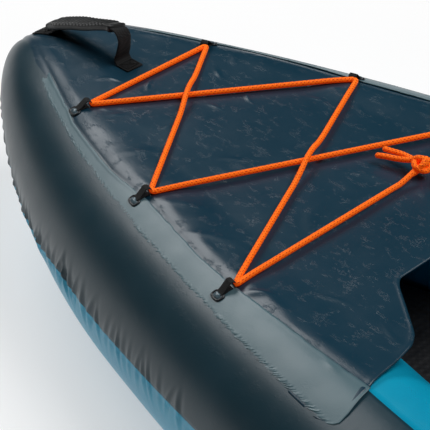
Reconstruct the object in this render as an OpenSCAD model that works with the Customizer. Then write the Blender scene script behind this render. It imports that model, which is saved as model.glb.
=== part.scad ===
// Inflatable touring kayak with a fabric bow and stern deck.
// +X runs towards the stern, +Y to starboard and +Z up. The origin is on the floor under the middle of the boat.

/* [Hull] */
// Length of the path of the side tubes, whose round tips reach about 9 further at each end
hull_length = 3800; // [3200:50:4400]
// Distance between the centre lines of the side tubes amidships
tube_spacing = 690; // [600:10:860]
// Radius of each side tube amidships
tube_r = 140; // [115:1:170]
// Length over which each end widens to the full beam
end_sweep = 1385; // [1200:5:1600]
// Length over which each tube thins towards its tip
tip_taper = 570; // [480:10:680]
// How far the crest of a tube dips at its tip
tip_dip = 64; // [30:1:80]
// Length of that dip
tip_dip_length = 210; // [180:10:320]

/* [Floor] */
// Thickness of the drop-stitch floor chamber
floor_t = 87; // [60:1:110]
// Distance from each tip to the end of the floor chamber
floor_inset = 420; // [380:10:520]
// Thickness of the bottom panel
panel_t = 3; // [2:0.5:5]
// Distance from each tip to the end of the bottom panel
panel_inset = 330; // [320:10:400]
// Height of the wear strips under the bottom panel
strip_h = 4; // [3:0.5:8]
// Width of a wear strip
strip_w = 44; // [30:1:70]
// Length of the middle wear strip
strip_length = 2200; // [1400:50:2400]

/* [Decks] */
// Thickness of the deck fabric
deck_t = 2.5; // [1.5:0.5:5]
// Distance from the tip to the straight rear edge of the deck
deck_length = 870; // [780:10:1000]
// How far the deck's legs reach past that edge along the tubes
deck_leg = 112; // [60:1:150]
// Angle round the tube from its crest to the welded edge of the deck
weld_angle = 29; // [20:1:45]

/* [Lacing] */
// Distance from the tip to the first pair of loops
lacing_first = 290; // [270:5:330]
// Distance between the pairs of loops
lacing_pitch = 225; // [180:1:235]
// How far each pair of loops lies outside the tube crests
lacing_out = [11, 26, 29]; // [0:1:35]
// Radius of the shock cord
cord_r = 4; // [3:0.5:5]
// Width of the webbing of a loop
loop_w = 11; // [8:1:18]
// Distance of the knot from the centre line
knot_y = 85; // [40:1:110]

/* [Handles] */
// Distance from the tip to the outer end of a handle
handle_inset = 66; // [55:1:80]
// Distance between the two ends of a handle
handle_span = 160; // [150:1:200]
// Height of the middle of a handle above its ends
handle_rise = 46; // [40:1:60]
// Width of the handle webbing
handle_w = 30; // [25:1:40]
// Thickness of the handle webbing
handle_t = 3; // [2:0.5:4]
// Thickness of the moulded grip
grip_t = 13; // [10:1:18]
// Width of the moulded grip
grip_w = 36; // [32:1:46]

/* [Valves] */
// Radius of a valve's flange
flange_r = 27; // [24:1:34]
// Radius of the hole that takes the pump's nozzle
valve_bore_r = 10.5; // [9:0.5:12]
// Radius of the collar round that hole
collar_r = 15; // [14:0.5:17]
// Height of the collar
collar_h = 9; // [8:0.5:12]
// Distance of the tube valves behind the middle of the boat
tube_valve_x = 840; // [760:10:850]
// Angle of a tube valve inboard of the crest
tube_valve_tilt = 30; // [10:1:40]
// Distance of the floor valve behind the middle of the boat
floor_valve_x = 1120; // [1050:10:1160]

/* [Seats] */
// Width of a seat
seat_w = 370; // [320:5:380]
// Length of a seat's base cushion
seat_l = 400; // [350:5:430]
// Thickness of a seat's base cushion
seat_t = 50; // [35:1:65]
// Height of a backrest
back_h = 360; // [300:5:420]
// Thickness of a backrest
back_t = 42; // [30:1:60]
// Angle that a backrest leans aft
back_lean = 12; // [5:1:20]
// Position of the front seat's middle along the boat
front_seat_x = -380; // [-480:10:-340]
// Position of the rear seat's middle along the boat
rear_seat_x = 380; // [350:10:400]

/* [Drain and fin base] */
// Distance from the tail to the drain
drain_inset = 376; // [370:1:382]
// Radius of the drain hole
drain_r = 10; // [8:0.5:12]
// Length of the base plate for the fin
fin_base_l = 190; // [150:5:220]
// Width of the base plate for the fin
fin_base_w = 62; // [50:1:80]
// Width of the slot for the fin's foot
fin_slot_w = 12; // [8:0.5:16]

/* [Hidden] */
$fn = 48;

petrol = [0.11, 0.22, 0.30];
sky = [0.16, 0.55, 0.70];
dark = [0.10, 0.11, 0.12];
orange = [1.0, 0.33, 0.05];

gap = 1;                                  // air between the layers of the hull
ring_sides = 24;                          // sides of a tube's section
ring_count = 54;                          // rings along a tube
panel_z = strip_h + panel_t;              // top of the bottom panel
floor_z = panel_z + gap;                  // underside of the tubes and of the floor chamber
crest_z = floor_z + 2 * tube_r;           // crest of the tubes amidships
floor_top = floor_z + floor_t;
deck_low = gap;                           // deck fabric's underside above the tube
deck_high = gap + deck_t;                 // deck fabric's outer face above the tube
nose_x = -hull_length / 2;
step = 1;                                 // step of the path's numeric slope
sweep_power = 1.6;                        // fullness of the plan at each end
taper_power = 2.1;                        // fullness of the tube's thinning
taper_root = 0.6;
dip_power = 3.5;                          // shape of the crest's dip
tip_inset = 24;                           // distance from the path's end to the centre of its round tip
tip_steps = 5;                            // rings round that tip
first_step = 0.3;                         // place of the outermost of them

// ---- path and radius of a side tube, for the starboard side ----
function inset(x) = max(0, hull_length / 2 - abs(x));
function tube_y(x) = tube_spacing / 2 * (1 - pow(1 - min(1, inset(x) / end_sweep), sweep_power));
function thinning(v) = pow(1 - pow(1 - min(1, v), taper_power), taper_root);
function rad(x) = tube_r * thinning(inset(x) / tip_taper);
function crest(x) = crest_z - tip_dip * pow(1 - min(1, inset(x) / tip_dip_length), dip_power);
function axis_point(x) = [x, tube_y(x), crest(x) - rad(x)];
function unit(v) = v / norm(v);
function heading(x) = unit(axis_point(x + step) - axis_point(x - step));
// Angle at which the tube's skin closes in along the path, as on a row of touching spheres.
function closing(x) =
    asin((rad(x + step) - rad(x - step)) / norm(axis_point(x + step) - axis_point(x - step)));
// Beyond the last sphere's centre the sections run round that sphere.
function held(x) = sign(x) * min(abs(x), hull_length / 2 - tip_inset);
function round_tip(x) =
    let (base = closing(held(x)), share = max(0, 1 - inset(x) / tip_inset))
    base + (sign(base) * 88 - base) * share;

// A point on the tube's skin: angle from the crest, positive outboard, and height above the skin.
function skin_point(x, angle, height) =
    let (h = held(x),
         t = heading(h),
         side = unit([-t[1], t[0], 0]),
         up = cross(t, side),
         g = round_tip(x),
         r = rad(h) + height)
    axis_point(h) - r * sin(g) * t + r * cos(g) * (sin(angle) * side + cos(angle) * up);

// The two tubes meet face to face on the centre plane at each end.
function beside_centre(p) = [p[0], max(p[1], gap / 2), p[2]];

// Height of the deck's outer face on the centre plane, found by closing in on the section that lies there.
function deck_top(x, s, tries) =
    let (p = skin_point(s, 0, deck_high))
    tries == 0 ? p[2] : deck_top(x, s + 0.6 * (x - p[0]), tries - 1);
function top_z(x) = deck_top(x, x, 14);

// Height of the deck's outer face over a point of the plan.
function deck_z(x, y) =
    let (over = max(0, abs(y) - tube_y(x)), r = rad(x))
    crest(x) - r + sqrt(pow(r + deck_high, 2) - over * over);

// ---- faces of a sweep of closed rings, each split into triangles ----
function sweep_sides(rings, n) = [
    for (i = [0 : rings - 2], j = [0 : n - 1])
        let (a = i * n + j, b = i * n + (j + 1) % n)
        each [[a, b, b + n], [a, b + n, a + n]]
];
function fan(first, n, flip) = [
    for (j = [1 : n - 2])
        flip ? [first, first + j, first + j + 1] : [first, first + j + 1, first + j]
];
module sweep(points, rings, n) {
    polyhedron(
        points,
        concat(sweep_sides(rings, n), fan(0, n, false), fan((rings - 1) * n, n, true)),
        convexity = 6
    );
}

// ---- side tubes ----
// Sections stand closer together towards each end, and a few more run round each tip.
path_half = hull_length / 2;
half_rings = [
    for (i = [first_step : tip_steps]) path_half - tip_inset * i / tip_steps,
    for (i = [0 : ring_count / 2 - 1]) (path_half - tip_inset) * cos(90 * i / (ring_count / 2))
];
ring_places = concat(
    [for (x = half_rings) -x], [0],
    [for (i = [len(half_rings) - 1 : -1 : 0]) half_rings[i]]
);

module side_tube() {
    sweep([
        for (x = ring_places, j = [0 : ring_sides - 1])
            beside_centre(skin_point(x, 360 * (j + 0.5) / ring_sides, 0))
    ], len(ring_places), ring_sides);
}
module starboard_tube() {
    color(petrol) side_tube();
}
module port_tube() {
    color(petrol) mirror([0, 1, 0]) side_tube();
}

// ---- floor ----
floor_air = 3;                            // air between the floor chamber and the tubes
function floor_half(x) =
    tube_y(x) - sqrt(pow(rad(x), 2) - pow(max(0, crest(x) - rad(x) - floor_top), 2)) / heading(x)[0] - floor_air;
function panel_half(x) = tube_y(x) - 20;
function plan_x(i, n, inset_x) = (hull_length / 2 - inset_x) * (2 * i / n - 1);

module floor_chamber() {
    n = 20;
    color(dark) translate([0, 0, floor_z]) linear_extrude(floor_t) polygon(concat(
        [for (i = [0 : n]) let (x = plan_x(i, n, floor_inset)) [x, floor_half(x)]],
        [for (i = [n : -1 : 0]) let (x = plan_x(i, n, floor_inset)) [x, -floor_half(x)]]
    ));
}
module bottom_panel() {
    n = 20;
    color(dark) difference() {
        translate([0, 0, strip_h]) linear_extrude(panel_t) polygon(concat(
            [for (i = [0 : n]) let (x = plan_x(i, n, panel_inset)) [x, panel_half(x)]],
            [for (i = [n : -1 : 0]) let (x = plan_x(i, n, panel_inset)) [x, -panel_half(x)]]
        ));
        translate([hull_length / 2 - drain_inset, 0, 0]) cylinder(r = drain_r, h = floor_z);
    }
}
// A plate with round ends, lying along X.
module stadium(length, width, height) {
    straight = length - width;
    translate([-straight / 2, -width / 2, 0]) cube([straight, width, height]);
    for (s = [-1, 1]) translate([s * straight / 2, 0, 0]) cylinder(d = width, h = height);
}
// A plate with rounded corners, centred on the origin.
module rounded_plate(length, width, height, corner) {
    translate([-length / 2, corner - width / 2, 0]) cube([length, width - 2 * corner, height]);
    translate([corner - length / 2, -width / 2, 0]) cube([length - 2 * corner, width, height]);
    for (sx = [-1, 1], sy = [-1, 1])
        translate([sx * (length / 2 - corner), sy * (width / 2 - corner), 0]) cylinder(r = corner, h = height);
}
module wear_strips() {
    side_y = tube_spacing / 2 - 60;
    color(dark) {
        stadium(strip_length, strip_w, strip_h);
        for (s = [-1, 1]) translate([0, s * side_y, 0]) stadium(strip_length * 0.8, strip_w, strip_h);
    }
}

// ---- decks ----
deck_start = 30;                          // distance from the tip to the deck's first section
deck_rows = 34;
deck_cols = 24;
flat_part = 0.74;                         // share of the deck's half-section between the crests

// Distance from the tip to the deck's rear edge, at a share of the half-section.
edge_share = 0.3;                         // end of the straight middle of that edge
leg_share = 0.47;                         // start of the leg along the tube
leg_step = 0.86;                          // share of the leg's length gained between the two
function deck_reach(a) =
    deck_length + deck_leg * (
        a < edge_share ? 0
        : a < leg_share ? (a - edge_share) / (leg_share - edge_share) * leg_step
        : leg_step + (1 - leg_step) * (a - leg_share) / (1 - leg_share));
function deck_point(i, q, height) =
    let (a = abs(q),
         u = pow(i / deck_rows, 1.35),
         x = nose_x + deck_start + u * (deck_reach(a) - deck_start),
         p = skin_point(x, max(0, a - flat_part) / (1 - flat_part) * weld_angle, height))
    [p[0], p[1] * sign(q) * (a < flat_part ? a / flat_part : 1), p[2]];

module deck_sheet() {
    n = 2 * (deck_cols + 1);
    top = [for (j = [0 : deck_cols]) 1 - 2 * j / deck_cols];
    bottom = [for (j = [0 : deck_cols]) 2 * j / deck_cols - 1];
    points = [
        for (i = [0 : deck_rows])
            each concat([for (q = bottom) deck_point(i, q, deck_high)], [for (q = top) deck_point(i, q, deck_low)])
    ];
    last = deck_rows * n;
    caps = [
        for (j = [0 : deck_cols - 1])
            let (k = n - 1 - j)
            each [[j, k, j + 1], [j + 1, k, k - 1],
                  [last + j, last + j + 1, last + k], [last + j + 1, last + k - 1, last + k]]
    ];
    polyhedron(points, concat(sweep_sides(deck_rows + 1, n), caps), convexity = 6);
}
module bow_deck() {
    color(petrol) deck_sheet();
}
module stern_deck() {
    color(petrol) mirror([1, 0, 0]) deck_sheet();
}

// ---- bungee lacing ----
cord_air = 0.8;                           // height of the cord above the deck
turn_reach = 12;                          // length of the cord's turn on each side of a loop
hump = 2 * cord_r + 1;                    // rise of one strand over another
knot_r = 3.25 * cord_r;
tail_length = 58;
tail_turn = -15;                          // angle between the two tails

function lacing_x(k) = nose_x + lacing_first + k * lacing_pitch;
function lacing_y(k) = tube_y(lacing_x(k)) + lacing_out[k];
function loop_at(k, side) = [lacing_x(k), side * lacing_y(k)];
knot_at = [lacing_x(2), knot_y];
route = [
    knot_at - [0, knot_r + 0.2], loop_at(2, -1), loop_at(1, 1), loop_at(0, -1),
    loop_at(0, 1), loop_at(1, -1), loop_at(2, 1), knot_at + [0, knot_r + 0.2]
];
function share_of_crossing(a, b, c, d) =
    let (u = b - a, v = d - c, w = c - a)
    (w[0] * v[1] - w[1] * v[0]) / (u[0] * v[1] - u[1] * v[0]);
function blend_at(a, b, f) = a + f * (b - a);
// Strand 1 passes over strand 5, and strand 4 over strand 2.
function crossing_share(s) =
    s == 1 ? share_of_crossing(route[1], route[2], route[5], route[6])
    : s == 4 ? share_of_crossing(route[4], route[5], route[2], route[3]) : -1;
function on_deck(p, lift) = [p[0], p[1], deck_z(p[0], p[1]) + cord_r + cord_air + lift];
function turn(s) =
    let (v = route[s], a = turn_reach * unit(route[s - 1] - v), b = turn_reach * unit(route[s + 1] - v))
    [for (t = [0 : 0.25 : 1]) on_deck(v + (1 - t) * (1 - t) * a + t * t * b, 0)];
function strand(s) =
    let (a = route[s], b = route[s + 1], f = crossing_share(s), w = 26 / norm(b - a))
    concat(
        [for (t = [0.14 : 0.18 : 0.9]) if (f < 0 || t < f - 1.3 * w) on_deck(blend_at(a, b, t), 0)],
        f < 0 ? [] : [
            for (t = [-1 : 0.5 : 1]) on_deck(blend_at(a, b, f + t * w), hump * (1 + cos(180 * t)) / 2)
        ],
        [for (t = [0.14 : 0.18 : 0.9]) if (f >= 0 && t > f + 1.3 * w) on_deck(blend_at(a, b, t), 0)]
    );
cord_path = concat(
    [on_deck(route[0], 0)], strand(0),
    [for (s = [1 : 6]) each concat(turn(s), strand(s))],
    [on_deck(route[7], 0)]
);
function path_heading(p, i) = unit(p[min(i + 1, len(p) - 1)] - p[max(i - 1, 0)]);
module cord(p, r, sides) {
    sweep([
        for (i = [0 : len(p) - 1], j = [0 : sides - 1])
            let (t = path_heading(p, i), side = unit(cross([0, 0, 1], t)), up = cross(t, side))
            p[i] + r * (cos(-360 * j / sides) * up + sin(360 * j / sides) * side)
    ], len(p), sides);
}
module bow_bungee() {
    color(orange) cord(cord_path, cord_r, 8);
}
module bungee_knot() {
    color(orange) translate(on_deck(knot_at, knot_r - cord_r)) {
        sphere(r = knot_r);
        for (tail = [[0, -cord_r], [tail_turn, 1.1 * cord_r]]) rotate([0, 0, tail[0]])
            translate([-knot_r / 2, tail[1], -cord_r]) rotate([0, -90, 0])
                cylinder(r = cord_r, h = knot_r / 2 + tail_length);
    }
}
// Places its children on the deck's outer face at each lacing loop, with +Y pointing outboard.
module at_loops() {
    for (k = [0 : 2], side = [-1, 1]) {
        y = lacing_y(k);
        over = y - tube_y(lacing_x(k));
        slope = asin(over / (rad(lacing_x(k)) + deck_high));
        translate([lacing_x(k), side * y, deck_z(lacing_x(k), y)])
            mirror([0, side < 0 ? 1 : 0, 0]) rotate([-slope, 0, 0]) children();
    }
}
loop_t = 1.6;
loop_in_r = cord_r + 1.4;
loop_back = 6;                            // distance of a loop's start inboard of its place
loop_tail = 14;                           // length of webbing between a loop and its patch
tab_r = 12;
tab_t = 2;
module lacing_loops() {
    color(dark) at_loops() translate([-loop_w / 2, -loop_back, 0.6]) rotate([90, 0, 90]) linear_extrude(loop_w) {
        translate([0, cord_r + cord_air]) difference() {
            circle(r = loop_in_r + loop_t);
            circle(r = loop_in_r);
            translate([-20, -40]) square([40, 40]);
        }
        for (s = [-1, 1]) translate([s * (loop_in_r + loop_t / 2) - loop_t / 2, 0]) square([loop_t, cord_r + cord_air]);
        translate([loop_in_r, 0]) square([loop_tail, loop_t]);
    }
}
module lacing_patches() {
    color(dark) at_loops() translate([0, loop_tail + 2 * cord_r, 0.6]) {
        cylinder(r = tab_r, h = tab_t);
        translate([0, 0, tab_t]) cylinder(r = 2 * tab_r / 3, h = 0.7 * tab_t);
    }
}

// ---- carrying handles ----
// The handle stands in the centre plane, over a slanting line between two anchors. Its webbing stops
// short of them, which leaves room for its edges as it flops to either side.
handle_x0 = nose_x + handle_inset;
handle_x1 = handle_x0 + handle_span;
anchor_t = 2.5;
anchor_l = 34;
anchor_out = 8;                           // distance of an anchor's middle outside the handle's end
anchor_rise = 1.6;                        // height of the handle's ends above the anchors' middles
handle_skew = 38;                         // how far the handle's top leans inboard
handle_fullness = 0.75;
function anchor_z(x) = top_z(x) + anchor_t + anchor_rise;
handle_slope = atan((anchor_z(handle_x1) - anchor_z(handle_x0)) / handle_span);
handle_run = handle_span / cos(handle_slope);
function arch(t0, t1, off) = [
    for (i = [0 : 20])
        let (t = t0 + (t1 - t0) * i / 20)
        [handle_skew * sin(t) - (handle_run / 2 + off) * cos(t), (handle_rise + off) * pow(sin(t), handle_fullness)]
];
// A curved band of the arch, between two angles and two offsets from its middle line.
module arch_band(t0, t1, low, high, width) {
    rotate([90, 0, 0]) translate([0, 0, -width / 2]) linear_extrude(width)
        polygon(concat(arch(t0, t1, high), arch(t1, t0, low)));
}
module in_handle_frame() {
    translate([handle_x0, 0, anchor_z(handle_x0)]) rotate([0, -handle_slope, 0])
        translate([handle_run / 2, 0, 0]) children();
}
module handle_strap() {
    color(dark) in_handle_frame() arch_band(12, 168, -handle_t / 2, handle_t / 2, handle_w);
}
module handle_grip() {
    slot_air = 0.4;
    color(dark) in_handle_frame() difference() {
        arch_band(38, 142, -grip_t / 2, grip_t / 2, grip_w);
        arch_band(30, 150, -handle_t / 2 - slot_air, handle_t / 2 + slot_air, handle_w + 2 * slot_air);
    }
}
// An anchor is a plate on the deck, with its middle a little outside the handle's end.
module handle_anchors() {
    color(dark) for (end = [[handle_x0, -anchor_out], [handle_x1, anchor_out]]) {
        x = end[0] + end[1];
        slope = atan((top_z(x + anchor_l / 2) - top_z(x - anchor_l / 2)) / anchor_l);
        translate([x, 0, top_z(x) + 0.4]) rotate([0, -slope, 0])
            translate([-anchor_l / 2, -handle_w / 2 - 2, 0]) cube([anchor_l, handle_w + 4, anchor_t]);
    }
}
module bow_handle_strap() { handle_strap(); }
module bow_handle_grip() { handle_grip(); }
module bow_handle_anchors() { handle_anchors(); }
module stern_handle_strap() { mirror([1, 0, 0]) handle_strap(); }
module stern_handle_grip() { mirror([1, 0, 0]) handle_grip(); }
module stern_handle_anchors() { mirror([1, 0, 0]) handle_anchors(); }

// ---- valves ----
flange_h = 3;
valve_floor = 1.5;                        // closed bottom under the pump's hole
stem_r = 3.5;
cap_wall = 2;
cap_air = 1.2;                            // lets the cap clear the collar as it swings
cap_r = collar_r + cap_air + cap_wall;
cap_h = collar_h + 2.8;
hinge_pin_r = 1.5;
hinge_at = cap_r + 3.4;                   // distance of the cap's hinge from the valve's axis
hinge_z = flange_h + 2.2;
pin_air = 0.08;

module valve_base() {
    color(dark) difference() {
        union() {
            cylinder(r = flange_r, h = flange_h);
            cylinder(r = collar_r, h = flange_h + collar_h);
            for (s = [-1, 1]) translate([hinge_at, s * 6, hinge_z]) rotate([90, 0, 0])
                cylinder(r = 2.2 + 0.8, h = 4, center = true);
        }
        translate([0, 0, valve_floor]) cylinder(r = valve_bore_r, h = flange_h + collar_h);
        translate([hinge_at, 0, hinge_z]) rotate([90, 0, 0]) cylinder(r = hinge_pin_r + pin_air, h = 40, center = true);
    }
}
module valve_stem() {
    color(sky) translate([0, 0, valve_floor + 3.5]) {
        cylinder(r = stem_r, h = collar_h + flange_h - valve_floor - 5);
        cylinder(r = valve_bore_r - 1.5, h = 1.2);
    }
}
module valve_cap() {
    color(dark) {
        difference() {
            translate([0, 0, flange_h + 0.4]) cylinder(r = cap_r, h = cap_h);
            translate([0, 0, flange_h]) cylinder(r = collar_r + cap_air, h = collar_h + 1);
        }
        translate([hinge_at, 0, hinge_z]) rotate([90, 0, 0]) cylinder(r = hinge_pin_r, h = 15.6, center = true);
        translate([cap_r - 0.8, -3.5, hinge_z - 1.2]) cube([hinge_at - cap_r + 0.8, 7, 2.4]);
    }
}
// A valve stands on the skin of a tube, inboard of the crest, or on the floor chamber.
module on_tube(side) {
    turn = atan(heading(tube_valve_x)[1] / heading(tube_valve_x)[0]);
    mirror([0, side < 0 ? 1 : 0, 0]) translate(skin_point(tube_valve_x, -tube_valve_tilt, 0.5))
        rotate([tube_valve_tilt, 0, turn]) children();
}
module on_floor() {
    translate([floor_valve_x, 0, floor_top + 0.4]) children();
}
module port_valve_base() { on_tube(-1) valve_base(); }
module port_valve_stem() { on_tube(-1) valve_stem(); }
module port_valve_cap() { on_tube(-1) valve_cap(); }
module starboard_valve_base() { on_tube(1) valve_base(); }
module starboard_valve_stem() { on_tube(1) valve_stem(); }
module starboard_valve_cap() { on_tube(1) valve_cap(); }
module floor_valve_base() { on_floor() valve_base(); }
module floor_valve_stem() { on_floor() valve_stem(); }
module floor_valve_cap() { on_floor() valve_cap(); }

// ---- drain and fin base ----
socket_h = 9;
plug_air = 0.3;
module drain_socket() {
    color(dark) translate([hull_length / 2 - drain_inset, 0, panel_z + 0.3]) difference() {
        union() {
            cylinder(r = drain_r + 12, h = 2.5);
            cylinder(r = drain_r + 4, h = socket_h);
        }
        translate([0, 0, -1]) cylinder(r = drain_r, h = socket_h + 2);
    }
}
module drain_plug() {
    shaft = socket_h + panel_t - 1;
    color(dark) translate([hull_length / 2 - drain_inset, 0, panel_z + 0.3 + socket_h]) {
        translate([0, 0, -shaft]) cylinder(r = drain_r - plug_air, h = shaft);
        translate([0, 0, plug_air]) cylinder(r = drain_r + 5, h = 4);
        cylinder(r = drain_r - plug_air, h = 1);
        translate([-2, -drain_r, 4]) cube([4, 2 * drain_r, 8]);
    }
}
module fin_base() {
    x = strip_length / 2 + fin_base_l / 2 + 20;
    color(dark) translate([x, 0, 0.5]) difference() {
        rounded_plate(fin_base_l, fin_base_w, strip_h - 0.8, 12);
        translate([0, 0, -1]) stadium(fin_base_l * 0.7, fin_slot_w, strip_h + 2);
    }
}

// ---- seats ----
grip_strip_t = 1.5;
seat_z = floor_top + grip_strip_t + 1;    // underside of a seat
hinge_r = 4;
back_air = 9;                             // height of the backrest's hinge over the base cushion
hinge_back = 8;                           // distance of that hinge behind the base cushion
hinge_y = 110;                            // distance of a hinge's webbing and of a grip strip from the centre
hinge_w = 60;
grip_strip_l = 1900;
grip_strip_w = 40;
seat_corner = 45;
back_corner = 60;
strap_w = 25;
strap_t = 2.5;
strap_from = 60;                          // height of the straps' lower ends on the backrest
module seat_grip_strips() {
    color(dark) for (s = [-1, 1])
        translate([0, s * hinge_y, floor_top + 0.3]) stadium(grip_strip_l, grip_strip_w, grip_strip_t);
}
module seat_base(x) {
    color(petrol) translate([x, 0, seat_z]) rounded_plate(seat_l, seat_w, seat_t, seat_corner);
}
// The hinge is a sewn roll of fabric behind the base cushion, with a tube of webbing in it.
function back_axis(x) = [x + seat_l / 2 + hinge_back, 0, seat_z + seat_t + back_air];
module seat_hinge(x) {
    c = back_axis(x);
    color(dark) for (s = [-1, 1]) translate([c[0], s * hinge_y, c[2]]) {
        rotate([90, 0, 0]) cylinder(r = hinge_r, h = hinge_w, center = true);
        translate([-hinge_r / 2, -hinge_w / 2, -back_air - seat_t])
            cube([hinge_r, hinge_w, back_air + seat_t - hinge_r + 1]);
    }
}
module backrest(x) {
    color(petrol) translate(back_axis(x)) rotate([0, back_lean, 0])
        translate([hinge_r + 1.5, 0, hinge_r + 3]) rotate([90, 0, 90]) translate([0, back_h / 2, 0])
            rounded_plate(seat_w, back_h, back_t, back_corner);
}
module back_straps(x) {
    color(dark) translate(back_axis(x)) rotate([0, back_lean, 0]) for (s = [-1, 1])
        translate([hinge_r + 1.5 + back_t / 2 - strap_w / 2, s * (seat_w / 2 + 1.5) - (s < 0 ? strap_t : 0), strap_from])
            cube([strap_w, strap_t, back_h - 2.5 * strap_from]);
}
module front_seat_base() { seat_base(front_seat_x); }
module front_seat_hinge() { seat_hinge(front_seat_x); }
module front_backrest() { backrest(front_seat_x); }
module front_back_straps() { back_straps(front_seat_x); }
module rear_seat_base() { seat_base(rear_seat_x); }
module rear_seat_hinge() { seat_hinge(rear_seat_x); }
module rear_backrest() { backrest(rear_seat_x); }
module rear_back_straps() { back_straps(rear_seat_x); }

port_tube();
starboard_tube();
floor_chamber();
bottom_panel();
wear_strips();
bow_deck();
stern_deck();
lacing_loops();
lacing_patches();
bow_bungee();
bungee_knot();
bow_handle_anchors();
bow_handle_strap();
bow_handle_grip();
stern_handle_anchors();
stern_handle_strap();
stern_handle_grip();
port_valve_base();
port_valve_stem();
port_valve_cap();
starboard_valve_base();
starboard_valve_stem();
starboard_valve_cap();
floor_valve_base();
floor_valve_stem();
floor_valve_cap();
seat_grip_strips();
drain_socket();
drain_plug();
fin_base();
front_seat_base();
front_seat_hinge();
front_backrest();
front_back_straps();
rear_seat_base();
rear_seat_hinge();
rear_backrest();
rear_back_straps();
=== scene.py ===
"""Inflatable touring kayak: its looks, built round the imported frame.

Metres. +X runs towards the stern, +Y to starboard and +Z up, with the origin on the floor amidships.
"""

import math

import bmesh
import bpy
import numpy as np
from mathutils import Matrix, Vector


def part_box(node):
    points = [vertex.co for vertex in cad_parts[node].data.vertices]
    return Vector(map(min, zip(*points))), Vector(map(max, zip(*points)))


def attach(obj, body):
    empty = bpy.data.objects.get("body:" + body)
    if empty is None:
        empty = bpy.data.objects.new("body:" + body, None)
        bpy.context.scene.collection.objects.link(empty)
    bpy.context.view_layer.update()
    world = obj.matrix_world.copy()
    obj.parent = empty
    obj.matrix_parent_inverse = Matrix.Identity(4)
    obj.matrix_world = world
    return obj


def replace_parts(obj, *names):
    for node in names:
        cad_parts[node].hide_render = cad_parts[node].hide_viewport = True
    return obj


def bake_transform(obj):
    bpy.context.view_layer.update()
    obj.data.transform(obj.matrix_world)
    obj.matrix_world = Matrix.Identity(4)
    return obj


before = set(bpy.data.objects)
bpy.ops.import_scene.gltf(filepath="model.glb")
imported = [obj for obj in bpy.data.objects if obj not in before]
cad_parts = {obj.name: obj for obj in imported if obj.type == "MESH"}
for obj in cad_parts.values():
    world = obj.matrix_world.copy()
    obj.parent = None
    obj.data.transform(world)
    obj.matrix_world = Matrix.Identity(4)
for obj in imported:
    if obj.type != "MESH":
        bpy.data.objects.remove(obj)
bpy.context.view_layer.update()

MM = 0.001

# ---- camera, first in the making order ----
CAMERA_AT = (0.1727, -1.5966, 1.7293)
CAMERA_AZIMUTH = math.radians(45.886)
CAMERA_ELEVATION = math.radians(35.221)
CAMERA_ROLL = math.radians(-0.556)
CAMERA_LENS = 158.25


def make_camera():
    """The photograph's own viewpoint."""
    a, e, roll = CAMERA_AZIMUTH, CAMERA_ELEVATION, CAMERA_ROLL
    forward = Vector((-math.sin(a) * math.cos(e), math.cos(a) * math.cos(e), -math.sin(e)))
    level = Vector((math.cos(a), math.sin(a), 0))
    above = level.cross(forward)
    right = level * math.cos(roll) + above * math.sin(roll)
    up = above * math.cos(roll) - level * math.sin(roll)
    turn = Matrix((right, up, -forward)).transposed().to_4x4()
    data = bpy.data.cameras.new("camera")
    data.lens = CAMERA_LENS
    data.sensor_width = 36
    data.clip_end = 60
    camera = bpy.data.objects.new("camera", data)
    camera.matrix_world = Matrix.Translation(CAMERA_AT) @ turn
    bpy.context.collection.objects.link(camera)
    bpy.context.scene.camera = camera


make_camera()

# ---- the hull's driving sizes, as in the CAD frame ----
HALF = 1.900                 # half the length of a side tube's path
SPACING = 0.690
TUBE_R = 0.140
END_SWEEP = 1.385
SWEEP_POWER = 1.6
TIP_TAPER = 0.570
TAPER_POWER = 2.1
TAPER_ROOT = 0.6
TIP_DIP = 0.064
TIP_DIP_LENGTH = 0.210
DIP_POWER = 3.5
TIP_INSET = 0.024
TIP_TURN = math.radians(88)
CREST_Z = 0.288
CENTRE_GAP = 0.0005          # half the gap between the tubes on the centre plane
DECK_HIGH = 0.0035           # deck's outer face above the tube
WELD_ANGLE = math.radians(29)
DECK_T = 0.0009
STRIP_T = 0.0007
WELD_LOW = 0.0004            # deck's outer face above the tube along its welded edge


def inset(x):
    return np.maximum(0.0, HALF - np.abs(x))


def tube_y(x):
    return SPACING / 2 * (1 - (1 - np.minimum(1, inset(x) / END_SWEEP)) ** SWEEP_POWER)


def rad(x):
    return TUBE_R * (1 - (1 - np.minimum(1, inset(x) / TIP_TAPER)) ** TAPER_POWER) ** TAPER_ROOT


def crest(x):
    return CREST_Z - TIP_DIP * (1 - np.minimum(1, inset(x) / TIP_DIP_LENGTH)) ** DIP_POWER


def soft_step(a, b, v):
    t = np.clip((v - a) / (b - a), 0, 1)
    return t * t * (3 - 2 * t)


def unit(v):
    return v / np.linalg.norm(v, axis=-1, keepdims=True)


def axis_point(x):
    return np.stack([x, tube_y(x), crest(x) - rad(x)], -1)


def tube_frame(x):
    """Centre, heading, side, up, closing angle and radius of the section at x."""
    held = np.sign(x) * np.minimum(np.abs(x), HALF - TIP_INSET)
    d = 0.001
    move = axis_point(held + d) - axis_point(held - d)
    heading = unit(move)
    closing = np.arcsin((rad(held + d) - rad(held - d)) / np.linalg.norm(move, axis=-1))
    share = np.maximum(0, 1 - inset(x) / TIP_INSET)
    closing = closing + (np.sign(closing) * TIP_TURN - closing) * share
    side = unit(np.stack([-heading[..., 1], heading[..., 0], np.zeros_like(x)], -1))
    return axis_point(held), heading, side, np.cross(heading, side), closing, rad(held)


def skin_point(x, angle, height):
    """A point over the starboard tube's skin: angle from the crest, positive outboard."""
    x, angle, height = np.broadcast_arrays(*(np.asarray(v, float) for v in (x, angle, height)))
    centre, heading, side, up, closing, r = tube_frame(x)
    r = (r + height)[..., None]
    g = closing[..., None]
    a = angle[..., None]
    return centre - r * np.sin(g) * heading + r * np.cos(g) * (np.sin(a) * side + np.cos(a) * up)


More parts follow.
